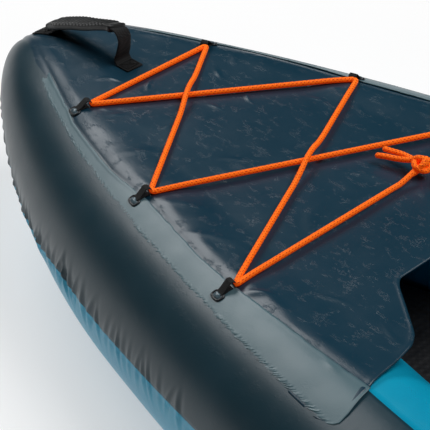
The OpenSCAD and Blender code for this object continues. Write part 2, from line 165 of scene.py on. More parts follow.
def weld_reach(x):
    """Angle of the deck's welded edge."""
    return WELD_ANGLE * (0.62 + 0.38 * (1 - np.exp(-inset(x) / 0.13)))


def deck_lay(x, angle):
    """Height of the deck's outer face over the tube's skin, down to the tube at the welded edge."""
    share = np.clip(angle / weld_reach(x), 0, 1)
    return DECK_HIGH - (DECK_HIGH - WELD_LOW) * soft_step(0.2, 1.0, share)


def strip_point(x, out, height):
    """A point over the starboard weld strip, at a distance outboard of the tube's crest."""
    angle = out / (rad(x) + DECK_HIGH)
    return skin_point(x, angle, deck_lay(x, angle) + STRIP_T + height)


def deck_z(x, y):
    """Height of the deck's outer face over a point of the plan, away from the tips."""
    over = np.maximum(0, np.abs(y) - tube_y(x))
    r = rad(x)
    return crest(x) - r + np.sqrt((r + DECK_HIGH) ** 2 - over * over)


def top_z(x):
    """Height of the deck's outer face on the centre plane, near a tip too."""
    s = x
    for _ in range(14):
        s = s + 0.6 * (x - skin_point(s, 0, DECK_HIGH)[0])
    return float(skin_point(s, 0, DECK_HIGH)[2])


def hump(v, width):
    return np.exp(-((v / width) ** 2))


def rounded(v, power):
    """A cosine or sine of a round outline, raised to a power that squares the outline."""
    return np.sign(v) * np.abs(v) ** power


def dome(reach, radius, least=0.0):
    """Height share of a quarter circle: it rises from an edge and is 1 from the radius on."""
    return np.sqrt(np.clip(1 - (1 - np.minimum(1, reach / radius)) ** 2, least, 1))


def tangents(path):
    return unit(np.gradient(path, axis=0))


def run_length(path):
    return np.concatenate([[0], np.cumsum(np.linalg.norm(np.diff(path, axis=0), axis=1))])


def ripple(x, y, seed, sizes, count=7):
    """A smooth irregular height field between about -1 and 1, from waves of the given sizes."""
    rng = np.random.default_rng(seed)
    total = np.zeros(np.broadcast(x, y).shape)
    for _ in range(count):
        size = rng.uniform(*sizes)
        turn = rng.uniform(0, math.pi)
        phase = rng.uniform(0, 2 * math.pi)
        total = total + np.sin((x * math.cos(turn) + y * math.sin(turn)) * 2 * math.pi / size + phase)
    return total / count * 1.8


# ---- mesh helpers ----
def make_piece(name, verts, faces, mats, body="hull", index=None, marks=None):
    """A mesh piece that rides on a body. faces holds index arrays, and marks point attributes."""
    mesh = bpy.data.meshes.new(name)
    rows = []
    for block in faces:
        rows.extend(np.asarray(block).tolist())
    mesh.from_pydata(np.asarray(verts).tolist(), [], rows)
    for mat in mats if isinstance(mats, (list, tuple)) else [mats]:
        mesh.materials.append(mat)
    if index is not None:
        mesh.polygons.foreach_set("material_index", np.asarray(index, dtype=np.int32))
    for key, values in (marks or {}).items():
        layer = mesh.attributes.new(key, "FLOAT", "POINT")
        layer.data.foreach_set("value", np.asarray(values, dtype=np.float32).ravel())
    bm = bmesh.new()
    bm.from_mesh(mesh)
    bmesh.ops.recalc_face_normals(bm, faces=bm.faces)
    bm.to_mesh(mesh)
    bm.free()
    mesh.polygons.foreach_set("use_smooth", np.full(len(mesh.polygons), True))
    mesh.update()
    piece = bpy.data.objects.new(name, mesh)
    bpy.context.collection.objects.link(piece)
    if body:
        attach(piece, body)
    return piece


def grid_faces(rows, cols, wrap=False, start=0):
    i, j = np.meshgrid(np.arange(rows - 1), np.arange(cols if wrap else cols - 1), indexing="ij")
    k = (j + 1) % cols
    quads = np.stack([i * cols + j, i * cols + k, (i + 1) * cols + k, (i + 1) * cols + j], -1)
    return (quads + start).reshape(-1, 4)


def ring_form(grid):
    """Vertices and faces of a closed form whose rings are the grid's rows."""
    rows, cols = grid.shape[:2]
    caps = [[list(range(cols))], [list(range((rows - 1) * cols, rows * cols))]]
    return grid.reshape(-1, 3), [grid_faces(rows, cols, wrap=True)] + caps


def shell(grid, thickness):
    """Vertices and faces of a closed sheet whose outer face is the grid."""
    rows, cols = grid.shape[:2]
    du = np.gradient(grid, axis=0)
    dv = np.gradient(grid, axis=1)
    n = np.cross(dv, du)
    n /= np.maximum(np.linalg.norm(n, axis=-1, keepdims=True), 1e-12)
    n *= np.where(n[..., 2:3].mean() < 0, -1, 1)
    under = grid - n * thickness
    verts = np.concatenate([grid.reshape(-1, 3), under.reshape(-1, 3)])
    half = rows * cols
    edge = np.concatenate([
        np.arange(cols), np.arange(1, rows) * cols + cols - 1,
        (rows - 1) * cols + np.arange(cols - 2, -1, -1), np.arange(rows - 2, 0, -1) * cols,
    ])
    follow = np.roll(edge, -1)
    rim = np.stack([edge, follow, follow + half, edge + half], -1)
    return verts, [grid_faces(rows, cols), grid_faces(rows, cols, start=half)[:, ::-1], rim]


CURVE_STEPS = 24             # steps of a curve between two of its points


def smooth_path(points, spacing, closed=False):
    """Even points on a centripetal curve through the given ones."""
    p = np.asarray(points, float)
    if closed:
        p = np.concatenate([p[-1:], p, p[:2]])
    else:
        p = np.concatenate([2 * p[:1] - p[1:2], p, 2 * p[-1:] - p[-2:-1]])
    out = []
    for a, b, c, d in zip(p[:-3], p[1:-2], p[2:-1], p[3:]):
        t = np.linspace(0, 1, CURVE_STEPS, endpoint=False)[:, None]
        ta = 0
        tb = np.linalg.norm(b - a) ** 0.5 + 1e-9
        tc = tb + np.linalg.norm(c - b) ** 0.5 + 1e-9
        td = tc + np.linalg.norm(d - c) ** 0.5 + 1e-9
        s = tb + (tc - tb) * t
        ab = (tb - s) / (tb - ta) * a + (s - ta) / (tb - ta) * b
        bc = (tc - s) / (tc - tb) * b + (s - tb) / (tc - tb) * c
        cd = (td - s) / (td - tc) * c + (s - tc) / (td - tc) * d
        abc = (tc - s) / (tc - ta) * ab + (s - ta) / (tc - ta) * bc
        bcd = (td - s) / (td - tb) * bc + (s - tb) / (td - tb) * cd
        out.append((tc - s) / (tc - tb) * abc + (s - tb) / (tc - tb) * bcd)
    line = np.concatenate(out + [p[-2:-1]])
    length = run_length(line)
    steps = np.linspace(0, length[-1], max(3, int(length[-1] / spacing) + 1))
    return np.stack([np.interp(steps, length, line[:, k]) for k in range(3)], -1), steps


def carried_frames(path):
    """Sides and ups along a path, carried without twist."""
    up = np.array([0.0, 0.0, 1.0])
    sides, ups = [], []
    for t in tangents(path):
        up = up - t * np.dot(up, t)
        up /= np.linalg.norm(up)
        ups.append(up)
        sides.append(np.cross(t, up))
    return np.array(sides), np.array(ups)


BAND_CORNER = 0.35           # bevel of a band's edge, as a share of its thickness


def ribbon(path, ups, width, thickness):
    """A closed flat band along a path: vertices and faces. ups are the band's normals."""
    heading = tangents(path)
    ups = unit(ups - heading * (ups * heading).sum(-1, keepdims=True))
    side = np.cross(heading, ups)
    edge = width / 2
    c = thickness * BAND_CORNER
    outline = []
    for sx, sz in ((1, 1), (-1, 1), (-1, -1), (1, -1)):
        xs = [edge - c * k for k in (0, 0.3, 1)]
        zs = [thickness / 2 - c * k for k in (1, 0.3, 0)]
        pair = list(zip(xs, zs)) if sx * sz > 0 else list(zip(xs, zs))[::-1]
        outline.extend([(sx * a, sz * b) for a, b in pair])
        if sx == 1 and sz == 1:
            outline.extend([(edge * k, thickness / 2) for k in (0.5, 0, -0.5)])
        if sx == -1 and sz == -1:
            outline.extend([(edge * k, -thickness / 2) for k in (-0.5, 0, 0.5)])
    o = np.array(outline)
    verts = path[:, None] + side[:, None] * o[None, :, :1] + ups[:, None] * o[None, :, 1:]
    return ring_form(verts)


BRAID_PITCH = 0.009
BRAID_STRANDS = 4
BRAID_MIDDLE = 0.6           # braid's height that leaves the cord's radius as it is


def tube_along(path, steps, radius, sides, braid=0.0, round_ends=False):
    """A round cord along a path, with its run and its turn as point marks."""
    side, up = carried_frames(path)
    turn = np.arange(sides) / sides
    a = turn * 2 * math.pi
    r = np.full((len(path), sides), radius)
    if braid:
        strand = BRAID_STRANDS * a[None]
        lay = 2 * math.pi / BRAID_PITCH * steps[:, None]
        over = np.maximum(np.sin(strand + lay), np.sin(strand - lay))
        r = r * (1 + braid * (over - BRAID_MIDDLE))
    if round_ends:
        r = r * dome(np.minimum(steps, steps[-1] - steps), radius, 0.04)[:, None]
    out = np.cos(a)[None, :, None] * up[:, None] + np.sin(a)[None, :, None] * side[:, None]
    marks = {"run": np.repeat(steps, sides), "turn": np.tile(np.abs(2 * turn - 1), len(path))}
    return *ring_form(path[:, None] + r[..., None] * out), marks


def as_is(points):
    return points


def mirror_y(points):
    return np.asarray(points) * np.array([1, -1, 1])


def mirror_x(points):
    return np.asarray(points) * np.array([-1, 1, 1])


def joined(parts):
    """Several (verts, faces) as one."""
    verts, faces, count = [], [], 0
    for v, fs in parts:
        verts.append(np.asarray(v))
        faces.extend([[[i + count for i in f] for f in np.asarray(block).tolist()] for block in fs])
        count += len(v)
    return np.concatenate(verts), faces


# ---- materials ----
def linear(rgb):
    """A screen colour of 0 to 255 as the linear colour that a shader takes."""
    shares = [c / 255 / 12.92 if c <= 10 else ((c / 255 + 0.055) / 1.055) ** 2.4 for c in rgb]
    return (*shares, 1.0)


class Paint:
    """A Principled material whose detail nodes read the piece's own coordinates in metres."""

    def __init__(self, name, rough=0.5, **sockets):
        self.mat = bpy.data.materials.new(name)
        self.mat.use_nodes = True
        self.tree = self.mat.node_tree
        self.shader = self.tree.nodes["Principled BSDF"]
        self.shader.inputs["Roughness"].default_value = rough
        for key, value in sockets.items():
            self.shader.inputs[key.replace("_", " ")].default_value = value
        self.place = self.add("ShaderNodeTexCoord").outputs["Object"]
        self.bumps = None

    def add(self, kind, links=(), **values):
        node = self.tree.nodes.new(kind)
        for key, value in values.items():
            if hasattr(node, key):
                setattr(node, key, value)
            else:
                node.inputs[key.replace("_", " ")].default_value = value
        for socket, source in dict(links).items():
            self.tree.links.new(source, node.inputs[socket])
        return node

    def noise(self, scale, detail=3.0, stretch=None, roughness=0.55):
        place = self.place
        if stretch:
            place = self.add("ShaderNodeMapping", {"Vector": place}, Scale=stretch).outputs[0]
        values = {"Scale": scale, "Detail": detail, "Roughness": roughness}
        return self.add("ShaderNodeTexNoise", {"Vector": place}, **values).outputs["Fac"]

    def waves(self, period, direction, wobble=0.0):
        scale = math.pi / 10 / period
        node = self.add("ShaderNodeTexWave", {"Vector": self.place}, Scale=scale, Distortion=wobble)
        node.bands_direction = direction
        return node.outputs["Fac"]

    def math(self, operation, a, b=None):
        node = self.add("ShaderNodeMath")
        node.operation = operation
        for i, v in enumerate((a, b)):
            if v is None:
                continue
            if isinstance(v, (int, float)):
                node.inputs[i].default_value = v
            else:
                self.tree.links.new(v, node.inputs[i])
        return node.outputs[0]

    def ramp(self, source, stops):
        node = self.add("ShaderNodeValToRGB", {"Fac": source})
        ramp = node.color_ramp
        while len(ramp.elements) < len(stops):
            ramp.elements.new(0.5)
        for element, (at, value) in zip(ramp.elements, stops):
            element.position = at
            element.color = value if isinstance(value, tuple) else (value, value, value, 1)
        return node.outputs["Color"]

    def mix(self, fac, a, b):
        node = self.add("ShaderNodeMix")
        node.data_type = "RGBA"
        for socket, v in ((node.inputs[0], fac), (node.inputs[6], a), (node.inputs[7], b)):
            if isinstance(v, (int, float, tuple)):
                socket.default_value = v
            else:
                self.tree.links.new(v, socket)
        return node.outputs[2]

    def colour(self, source):
        self.tree.links.new(source, self.shader.inputs["Base Color"])

    def rough(self, source):
        self.tree.links.new(source, self.shader.inputs["Roughness"])

    def bump(self, height, distance):
        node = self.add("ShaderNodeBump", {"Height": height}, Distance=distance)
        if self.bumps is not None:
            self.tree.links.new(self.bumps, node.inputs["Normal"])
        self.bumps = node.outputs["Normal"]
        self.tree.links.new(self.bumps, self.shader.inputs["Normal"])


def coated_fabric(name, rgb, light, rough=(0.30, 0.38), rib=None, scuffs=0.35):
    """PVC coated cloth: faint cloudiness, pressed-through weave, handling marks."""
    p = Paint(name, IOR=1.46)
    cloud = p.ramp(p.noise(7, 4), [(0.3, linear(rgb)), (0.72, linear(light))])
    grain = p.noise(900, 2)
    p.colour(p.mix(p.math("MULTIPLY", grain, 0.25), cloud, linear([min(255, c * 1.25 + 4) for c in rgb])))
    p.rough(p.ramp(p.noise(24, 5), [(0.25, rough[0]), (0.75, rough[1])]))
    p.bump(p.noise(420, 2), 0.00005)
    if rib:
        p.bump(p.waves(0.0023, "X", 0.4), rib)
    marks = p.noise(38, 6, stretch=(1, 1.7, 1), roughness=0.7)
    marks = p.ramp(marks, [(0.56, 0.0), (0.60, 1.0), (0.64, 0.0)])
    p.bump(marks, 0.00012 * scuffs)
    return p.mat


def webbing(name, rgb, light):
    """Woven nylon tape with a fine diagonal rib."""
    p = Paint(name, rough=0.8, IOR=1.5)
    rib = p.waves(0.0016, "DIAGONAL", 0.3)
    cross = p.waves(0.0024, "X", 0.2)
    yarn = p.math("MULTIPLY", rib, cross)
    p.colour(p.mix(yarn, linear(rgb), linear(light)))
    p.bump(yarn, 0.0004)
    p.bump(p.noise(600, 2), 0.0001)
    p.shader.inputs["Specular IOR Level"].default_value = 0.3
    p.shader.inputs["Sheen Weight"].default_value = 0.04
    return p.mat


def moulded(name, rgb, rough=(0.38, 0.52), grain=0.00008, scale=700):
    """Moulded plastic or rubber with a fine spark finish and rubbed patches."""
    p = Paint(name, IOR=1.48)
    light = [c * 1.2 + 3 for c in rgb]
    p.colour(p.ramp(p.noise(40, 4), [(0.3, linear(rgb)), (0.75, linear(light))]))
    p.rough(p.ramp(p.noise(70, 4), [(0.3, rough[0]), (0.7, rough[1])]))
    p.bump(p.noise(scale, 2), grain)
    return p.mat


FLECK_PITCH = 0.006
YARN_PITCH = 0.0032
CORD_PAINTED_GLOW = 0.24             # painted glow: emission that keeps the cord bright orange in its shade


def braided_cord(name):
    """Shock cord sheath: orange yarns with a dark tracer that shows once a turn."""
    p = Paint(name, rough=0.7, IOR=1.5)
    run = p.add("ShaderNodeAttribute", attribute_name="run").outputs["Fac"]
    turn = p.add("ShaderNodeAttribute", attribute_name="turn").outputs["Fac"]
    fleck_u = p.math("ADD", p.math("MULTIPLY", run, 1 / FLECK_PITCH), p.math("MULTIPLY", turn, 2))
    fleck_v = p.math("MULTIPLY", turn, 4)
    cell = p.add("ShaderNodeCombineXYZ", {"X": fleck_u, "Y": fleck_v}).outputs[0]
    dots = p.add("ShaderNodeTexVoronoi", {"Vector": cell}, Scale=1.0, Randomness=0.15).outputs["Distance"]
    tracer = p.ramp(dots, [(0.20, 1.0), (0.30, 0.0)])
    slant = p.math("ADD", p.math("MULTIPLY", run, 2 * math.pi / YARN_PITCH), p.math("MULTIPLY", turn, 9))
    yarn = p.math("ADD", p.math("MULTIPLY", p.math("SINE", slant), 0.5), 0.5)
    base = p.mix(yarn, linear((255, 92, 2)), linear((255, 138, 8)))
    worn = p.mix(p.math("MULTIPLY", p.noise(160, 3), 0.3), base, linear((255, 140, 20)))
    p.colour(p.mix(p.math("MULTIPLY", tracer, 0.9), worn, linear((70, 10, 6))))
    p.bump(yarn, 0.0004)
    p.shader.inputs["Specular IOR Level"].default_value = 0.25
    # painted glow: the cord emits orange light of its own, which lifts its shaded side
    p.shader.inputs["Emission Color"].default_value = linear((255, 60, 0))
    p.shader.inputs["Emission Strength"].default_value = CORD_PAINTED_GLOW
    return p.mat


def seat_cloth(name, rgb, light):
    """Hard-wearing woven polyester."""
    p = Paint(name, rough=0.8, IOR=1.5)
    weave = p.math("MULTIPLY", p.waves(0.0021, "X", 0.5), p.waves(0.0021, "Y", 0.5))
    cloth = p.ramp(p.noise(9, 4), [(0.3, linear(rgb)), (0.7, linear([c * 1.15 for c in rgb]))])
    p.colour(p.mix(weave, cloth, linear(light)))
    p.bump(weave, 0.0004)
    p.bump(p.noise(30, 4), 0.0006)
    p.shader.inputs["Sheen Weight"].default_value = 0.3
    return p.mat


def drop_stitch(name):
    """Black drop-stitch skin, faintly dimpled by its threads."""
    p = Paint(name, IOR=1.46)
    p.colour(p.ramp(p.noise(12, 4), [(0.3, linear((19, 20, 23))), (0.75, linear((29, 31, 35)))]))
    p.rough(p.ramp(p.noise(30, 4), [(0.3, 0.42), (0.7, 0.58)]))
    dimple = p.math("MULTIPLY", p.waves(0.012, "X"), p.waves(0.012, "Y"))
    p.bump(dimple, 0.0004)
    p.bump(p.noise(500, 2), 0.0001)
    return p.mat


FLOOR_GLOW = 0.48


def pale_floor(name):
    """The studio's paper floor, with a glow that holds its tone away from the lights."""
    p = Paint(name, rough=0.9)
    p.colour(p.ramp(p.noise(1.5, 2), [(0.3, 0.52), (0.7, 0.54)]))
    p.shader.inputs["Specular IOR Level"].default_value = 0.1
    p.shader.inputs["Emission Color"].default_value = (1, 1, 1, 1)
    p.shader.inputs["Emission Strength"].default_value = FLOOR_GLOW
    return p.mat


PETROL = coated_fabric("petrol_coated_fabric", (24, 50, 60), (30, 57, 68))
DECK = coated_fabric(
    "deck_coated_fabric", (13, 47, 63), (20, 52, 68), rough=(0.28, 0.36), scuffs=1.0)
# painted highlight: the weld strip is the deck's own fabric, given a lighter colour where it faces the
# bow softbox's reflection
STRIP = coated_fabric(
    "weld_strip_painted_highlight_fabric", (70, 95, 103), (80, 105, 112), rough=(0.34, 0.42), scuffs=0.3)
SKY = coated_fabric("sky_coated_fabric", (0, 137, 171), (12, 151, 183), rib=0.00016)
UNDER = coated_fabric("bottom_coated_fabric", (16, 18, 21), (26, 28, 31), rough=(0.5, 0.62))
CHAMBER = drop_stitch("drop_stitch_fabric")
WEB = webbing("black_webbing", (8, 9, 10), (28, 29, 30))
GRIP = moulded("grip_rubber", (19, 21, 22))
SMOOTH = {"grain": 0.00003, "scale": 300}
# the tabs' pale colour is partly a painted highlight; their low roughness also gives them real highlights
PATCH = moulded("welded_tab_vinyl_painted_highlight", (70, 86, 94), rough=(0.12, 0.2), **SMOOTH)
# painted shade: the tab's groove and rim are coloured dark in place of the shade that falls in them
RIM = moulded("welded_tab_rim_painted_shade", (16, 22, 27), rough=(0.3, 0.4), **SMOOTH)
PLASTIC = moulded("valve_plastic", (26, 28, 31), rough=(0.35, 0.45))
STEM = moulded("stem_plastic", (30, 140, 175), rough=(0.3, 0.4))
CORD = braided_cord("braided_shock_cord")
SEAT = seat_cloth("seat_cloth", (24, 50, 64), (44, 74, 90))
SEAT_TRIM = seat_cloth("seat_trim_cloth", (12, 13, 15), (34, 36, 39))

# ---- side tubes ----
RING_STEP = 0.0028
PETROL_COLS = 44
SKY_COLS = 72
SEAM_LIFT = 0.0009
FOLD_REACH = 0.017           # how far a pucker runs from the seam
SCALLOP = 1.1                # how far a pucker draws the seam up, as a share of its height
SCALLOP_REACH = 0.016
FOLDS_FROM, FOLDS_TO = 0.12, 0.80      # stretch of the seam that puckers, from the tip
FOLDS_PEAK, FOLDS_SPREAD = 0.38, 0.16  # where the puckers are highest
FINE_FROM = 0.82             # rings are close together from here to the tip
COARSE_STEP = 0.02
TIP_RINGS = (0.15, 0.6, 1.2, 2, 3, 4, 5, 6, 7)  # places of the tip's rings, in eighths of its inset


# Angle of the seam between the two colours, by distance from the tip.
SEAM_INSET = [0.0, 0.2, 0.317, 0.397, 0.465, 0.60, 0.831, 1.3]
SEAM_ANGLE = [99, 99.5, 98, 93, 86, 85, 79.5, 78]


def seam_angle(x):
    """Angle of the outboard seam between the two colours."""
    return np.radians(np.interp(inset(x), SEAM_INSET, SEAM_ANGLE))


def folds(seed):
    """Places, widths, heights and slants of the puckers along one end's seam."""
    rng = np.random.default_rng(seed)
    at = FOLDS_FROM
    found = []
    while at < FOLDS_TO:
        strong = 0.4 + 0.6 * math.exp(-(((at - FOLDS_PEAK) / FOLDS_SPREAD) ** 2))
        width = rng.uniform(0.0030, 0.0052)
        height = rng.uniform(0.0022, 0.0054) * strong
        found.append((at, width, height, rng.uniform(-0.35, 0.35)))
        at += rng.uniform(0.013, 0.026)
    return found


def pucker(x, away, places):
    """Height of the puckers at a distance from the seam, measured round the tube."""
    total = np.zeros(np.broadcast(x, away).shape)
    for at, width, height, slant in places:
        run = inset(x) - at - slant * away
        ridge = hump(run, width) - 0.8 * hump(run - 1.7 * width, width)
        total = total + height * ridge * hump(away, FOLD_REACH * (1 + 60 * width))
    return total


def tube_skin(name, node, seed, turn):
    """One side tube, with a material for each side of its outboard seam."""
    ends = [HALF - TIP_INSET * k / 8 for k in TIP_RINGS]
    fine = np.arange(HALF - TIP_INSET, FINE_FROM, -RING_STEP)
    half = np.concatenate([ends, fine, np.arange(FINE_FROM, 0.001, -COARSE_STEP)])
    x = np.concatenate([-half, [0], half[::-1]])[:, None]
    bow, stern = folds(seed), folds(seed + 50)
    seam = seam_angle(x)
    petrol = seam * np.linspace(0, 1, PETROL_COLS)[None]
    sky = seam + (2 * math.pi - seam) * np.linspace(0, 1, SKY_COLS)[None]
    angle = np.concatenate([petrol, sky], axis=1)
    lift = np.concatenate([np.full_like(petrol, SEAM_LIFT), np.zeros_like(sky)], axis=1)
    away = (angle - seam) * TUBE_R
    fold = np.where(x < 0, pucker(x, away, bow), pucker(x, away, stern))
    ripples = ripple(x, angle * TUBE_R, seed, (0.09, 0.3)) * 0.0005
    angle = angle - fold / TUBE_R * SCALLOP * hump(away, SCALLOP_REACH)
    grid = skin_point(x, angle, lift + fold + ripples)
    grid[..., 1] = np.maximum(grid[..., 1], CENTRE_GAP)
    rows, cols = grid.shape[:2]
    index = np.where(np.tile(np.arange(cols), rows - 1) < PETROL_COLS, 0, 1)
    verts, faces = ring_form(turn(grid))
    piece = make_piece(name, verts, faces, [PETROL, SKY], index=np.concatenate([index, [1, 1]]))
    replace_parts(piece, node)


tube_skin("port_tube_skin", "port_tube", 11, mirror_y)
tube_skin("starboard_tube_skin", "starboard_tube", 23, as_is)

# ---- decks ----
FLAT_PART = 0.74             # share of the deck's half-section between the crests
DECK_START = 0.004
STRIP_START = 0.168
GROOVE_DEPTH = 0.0012        # beside the weld strip
ROLL_HEIGHT = 0.0006         # inboard of that groove
ROLL_AT = 0.017
SAG = 0.0035                 # of the deck between the tubes
HEM_HEIGHT = 0.0008
BEAD_HEIGHT = 0.00042        # roughness of the weld's outer edge
LIP_HEIGHT = 0.0004          # along the strip's inboard edge
# Share of the half-section and distance of the rear edge from the tip.
EDGE_SHARE = [0, 0.29, 0.325, 0.455, 0.50, 0.60, 0.66, 0.735, 0.94, 0.975, 1.0]
EDGE_INSET = [0.871, 0.871, 0.882, 0.958, 0.970, 0.978, 0.981, 0.987, 1.005, 0.998, 0.976]
# Angle of the weld strip's inboard edge, by distance from the tip.
CREASE_INSET = [0.0, 0.20, 0.278, 0.31, 0.439, 0.531, 0.671, 0.729, 0.823, 0.946, 1.01]
CREASE_ANGLE = [9, 15.5, 17, 19.3, 18, 12.5, 12.5, 10.5, 6, 1, -2]
# Small creases of the deck: distance from the tip, y, direction, length, width and height, all in
# millimetres and degrees.
DECK_CREASES = [
    (246, -53, 60, 14, 4, 1.6), (260, -41, 20, 18, 5, 1.2), (304, -15, 125, 22, 4, 1.8),
    (408, -73, 80, 16, 4, 1.4), (116, -45, 35, 40, 7, 1.4), (365, -10, 70, 14, 4, 1.2),
    (310, -107, 30, 14, 4, 0.9), (333, -105, 60, 16, 5, 1.0), (354, 78, 150, 20, 4, 1.7),
    (341, 125, 130, 24, 6, 1.0), (367, 151, 60, 20, 5, 1.0), (431, 62, 150, 18, 4, 2.0),
    (415, 12, 10, 18, 6, 0.9), (503, 168, 60, 16, 5, 0.9), (503, 131, 20, 14, 5, 0.8),
    (568, 153, 150, 18, 5, 0.9), (528, -65, 40, 26, 6, 0.9), (767, 58, 150, 34, 9, 1.1),
    (839, -199, 25, 34, 4, 1.1), (837, -132, 85, 44, 12, 1.3), (938, -202, 160, 30, 4, 0.9),
    (771, -258, 40, 26, 9, 2.2), (560, -190, 35, 60, 14, 1.0), (640, -215, 30, 60, 12, 1.2),
    (430, -140, 50, 40, 12, 1.0), (690, 40, 15, 60, 16, 0.8), (600, 40, 70, 50, 14, 0.8),
    (700, -90, 120, 60, 16, 0.8),
]


def crease_angle(x):
    return np.radians(np.interp(inset(x), CREASE_INSET, CREASE_ANGLE))


def creases(x, y, seed):
    """Raised folds of the deck fabric. Seed 0 is the bow's own set; others are scattered."""
    total = np.zeros(np.broadcast(x, y).shape)
    rng = np.random.default_rng(seed)
    for far, across, turn, length, width, height in DECK_CREASES:
        if seed:
            far, across = far + rng.uniform(-40, 40), -across + rng.uniform(-30, 30)
            turn = rng.uniform(0, 180)
        dx = inset(x) - far * MM
        dy = y - across * MM
        c, s = math.cos(math.radians(turn)), math.sin(math.radians(turn))
        along = dx * c + dy * s
        over = dy * c - dx * s + 6 * along ** 2
        ridge = hump(along, length * MM * 0.6) * hump(over, width * MM * 0.62)
        total = total + height * MM * ridge
    return total


def deck_grid(rows, cols, seed):
    """Outer face of a bow deck, port to starboard, without its weld strips."""
    q = np.linspace(-1, 1, cols)[None]
    a = np.abs(q)
    fine = np.linspace(0, 1.0, 400)
    reach = np.interp(fine, EDGE_SHARE, EDGE_INSET)
    reach = np.convolve(np.pad(reach, 5, mode="edge"), np.ones(11) / 11, mode="valid")
    edge = np.interp(a, fine, reach)
    u = (np.linspace(0, 1, rows) ** 1.15)[:, None]
    x = -HALF + DECK_START + u * (edge - DECK_START)
    tilt = np.maximum(0, a - FLAT_PART) / (1 - FLAT_PART) * weld_reach(x)
    p = skin_point(x, tilt, deck_lay(x, tilt))
    y = p[..., 1] * np.sign(q) * np.minimum(1, a / FLAT_PART)
    open_share = np.clip(1 - np.abs(y) / np.maximum(0.02, tube_y(x)), 0, 1)
    free = soft_step(0, 0.25, open_share)
    tight = soft_step(0.05, 0.22, inset(x))
    # inboard distance from the weld strip's edge: a groove beside it, then a low roll
    arc = np.where(a > FLAT_PART, tilt, 0) * rad(x) - crease_angle(x) * rad(x)
    plan = np.where(a > FLAT_PART, -arc, tube_y(x) - np.abs(y) + crease_angle(x) * rad(x))
    groove = -GROOVE_DEPTH * hump(plan - 0.001, 0.004)
    uneven = 1 + 1.2 * ripple(x, y, seed + 5, (0.04, 0.16))
    groove = groove + ROLL_HEIGHT * hump(plan - ROLL_AT, 0.008) * uneven
    sag = -SAG * free * soft_step(0.3, 0.6, inset(x))
    lift = (creases(x, y, seed) + groove + sag) * tight
    lift = lift + ripple(x, y, seed + 1, (0.09, 0.25)) * 0.0006 * tight
    lift = lift + ripple(x, y, seed + 2, (0.03, 0.06)) * 0.00006 * tight
    # a narrow hem stiffens the rear edge
    hem = hump((edge - inset(x)) - 0.004, 0.004) * soft_step(0.4, 0.7, inset(x))
    lift = lift + HEM_HEIGHT * hem
    foot = np.stack([p[..., 0], np.where(a > FLAT_PART, tube_y(x), p[..., 1]), crest(x) - rad(x)], -1)
    up = unit(p - foot)
    grid = np.stack([p[..., 0], y, p[..., 2]], -1)
    up[..., 1] *= np.sign(q)
    return grid + up * lift[..., None]


def weld_strip(rows, cols, seed):
    """Outer face of a starboard bow weld strip, from its inboard to its outer edge."""
    rng = np.random.default_rng(seed)
    v = np.linspace(0, 1, cols)[None]
    u = np.linspace(0, 1, rows)[:, None]
    end = np.interp(v, [0, 0.6, 0.8, 0.9, 0.96, 1.0], [0.989, 1.003, 1.005, 1.0, 0.990, 0.972])
    x = -HALF + STRIP_START + u ** 1.1 * (end - STRIP_START)
    # both edges are cut by hand: degrees off the line, inboard in short steps
    step = np.repeat(rng.normal(0, 0.12, rows // 9 + 1), 9)[:rows]
    ragged = rng.normal(0, 0.07, rows)
    inner = crease_angle(x) + np.radians(step)[:, None] * soft_step(0.1, 0.3, inset(x))
    outer = weld_reach(x) + np.radians(ragged)[:, None]
    angle = inner + (outer - inner) * v
    width = (outer - inner) * rad(x)
    from_edge = (1 - v) * width
    bead = BEAD_HEIGHT * hump(from_edge - 0.004, 0.0035) * rng.normal(0.2, 1.0, (rows, cols))
    thin = -(STRIP_T + WELD_LOW) * (1 - soft_step(-0.001, 0.007, from_edge))
    inner_lip = LIP_HEIGHT * hump(v * width - 0.002, 0.002)
    # towards the tip the strip runs out flush into the deck, its inboard side first
    from_start = inset(x) - STRIP_START
    flush = -0.0016 * (1 - soft_step(0, 0.045, from_start)) * (1 - soft_step(0.2, 0.7, v))
    flush = flush - (STRIP_T + WELD_LOW) * (1 - soft_step(0, 0.02, from_start))
    lift = deck_lay(x, angle) + STRIP_T + bead + thin + inner_lip + flush
    lift = lift + ripple(x, angle * TUBE_R, seed, (0.03, 0.09)) * 0.00006
    # one pinched fold near the rear end
    lift = lift + 0.0016 * hump(inset(x) - 0.933, 0.012) * hump(angle * TUBE_R - 0.012, 0.004)
    grid = skin_point(x, angle, lift)
    # inboard of the crest the strip runs on over the flat deck
    crest_line = skin_point(x, 0, lift)
    flat = np.abs(angle) * (rad(x) + DECK_HIGH)
    grid[..., 1] = np.where(angle < 0, crest_line[..., 1] - flat, grid[..., 1])
    grid[..., 2] = np.where(angle < 0, crest_line[..., 2], grid[..., 2])
    grid[..., 1] = np.maximum(grid[..., 1], 0.0008)
    return grid


def deck(name, node, turn, seed, rows, cols):
    """A deck sheet and its two weld strips."""
    grid = turn(deck_grid(rows, cols, seed))
    verts, faces = shell(grid, DECK_T)
    piece = make_piece(name + "_sheet", verts, faces, DECK)
    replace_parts(piece, node)
    # across, the sheet curves over both tubes, which adds to its flat width
    for side in ("port", "starboard"):
        strip = turn(weld_strip(rows * 2, 26, seed + 3))
        if side == "port":
            strip = mirror_y(strip)
        verts, faces = shell(strip, STRIP_T)
        edge = make_piece(name + "_weld_strip_" + side, verts, faces, STRIP)


deck("bow_deck", "bow_deck", as_is, 0, 300, 220)
deck("stern_deck", "stern_deck", mirror_x, 40, 180, 150)

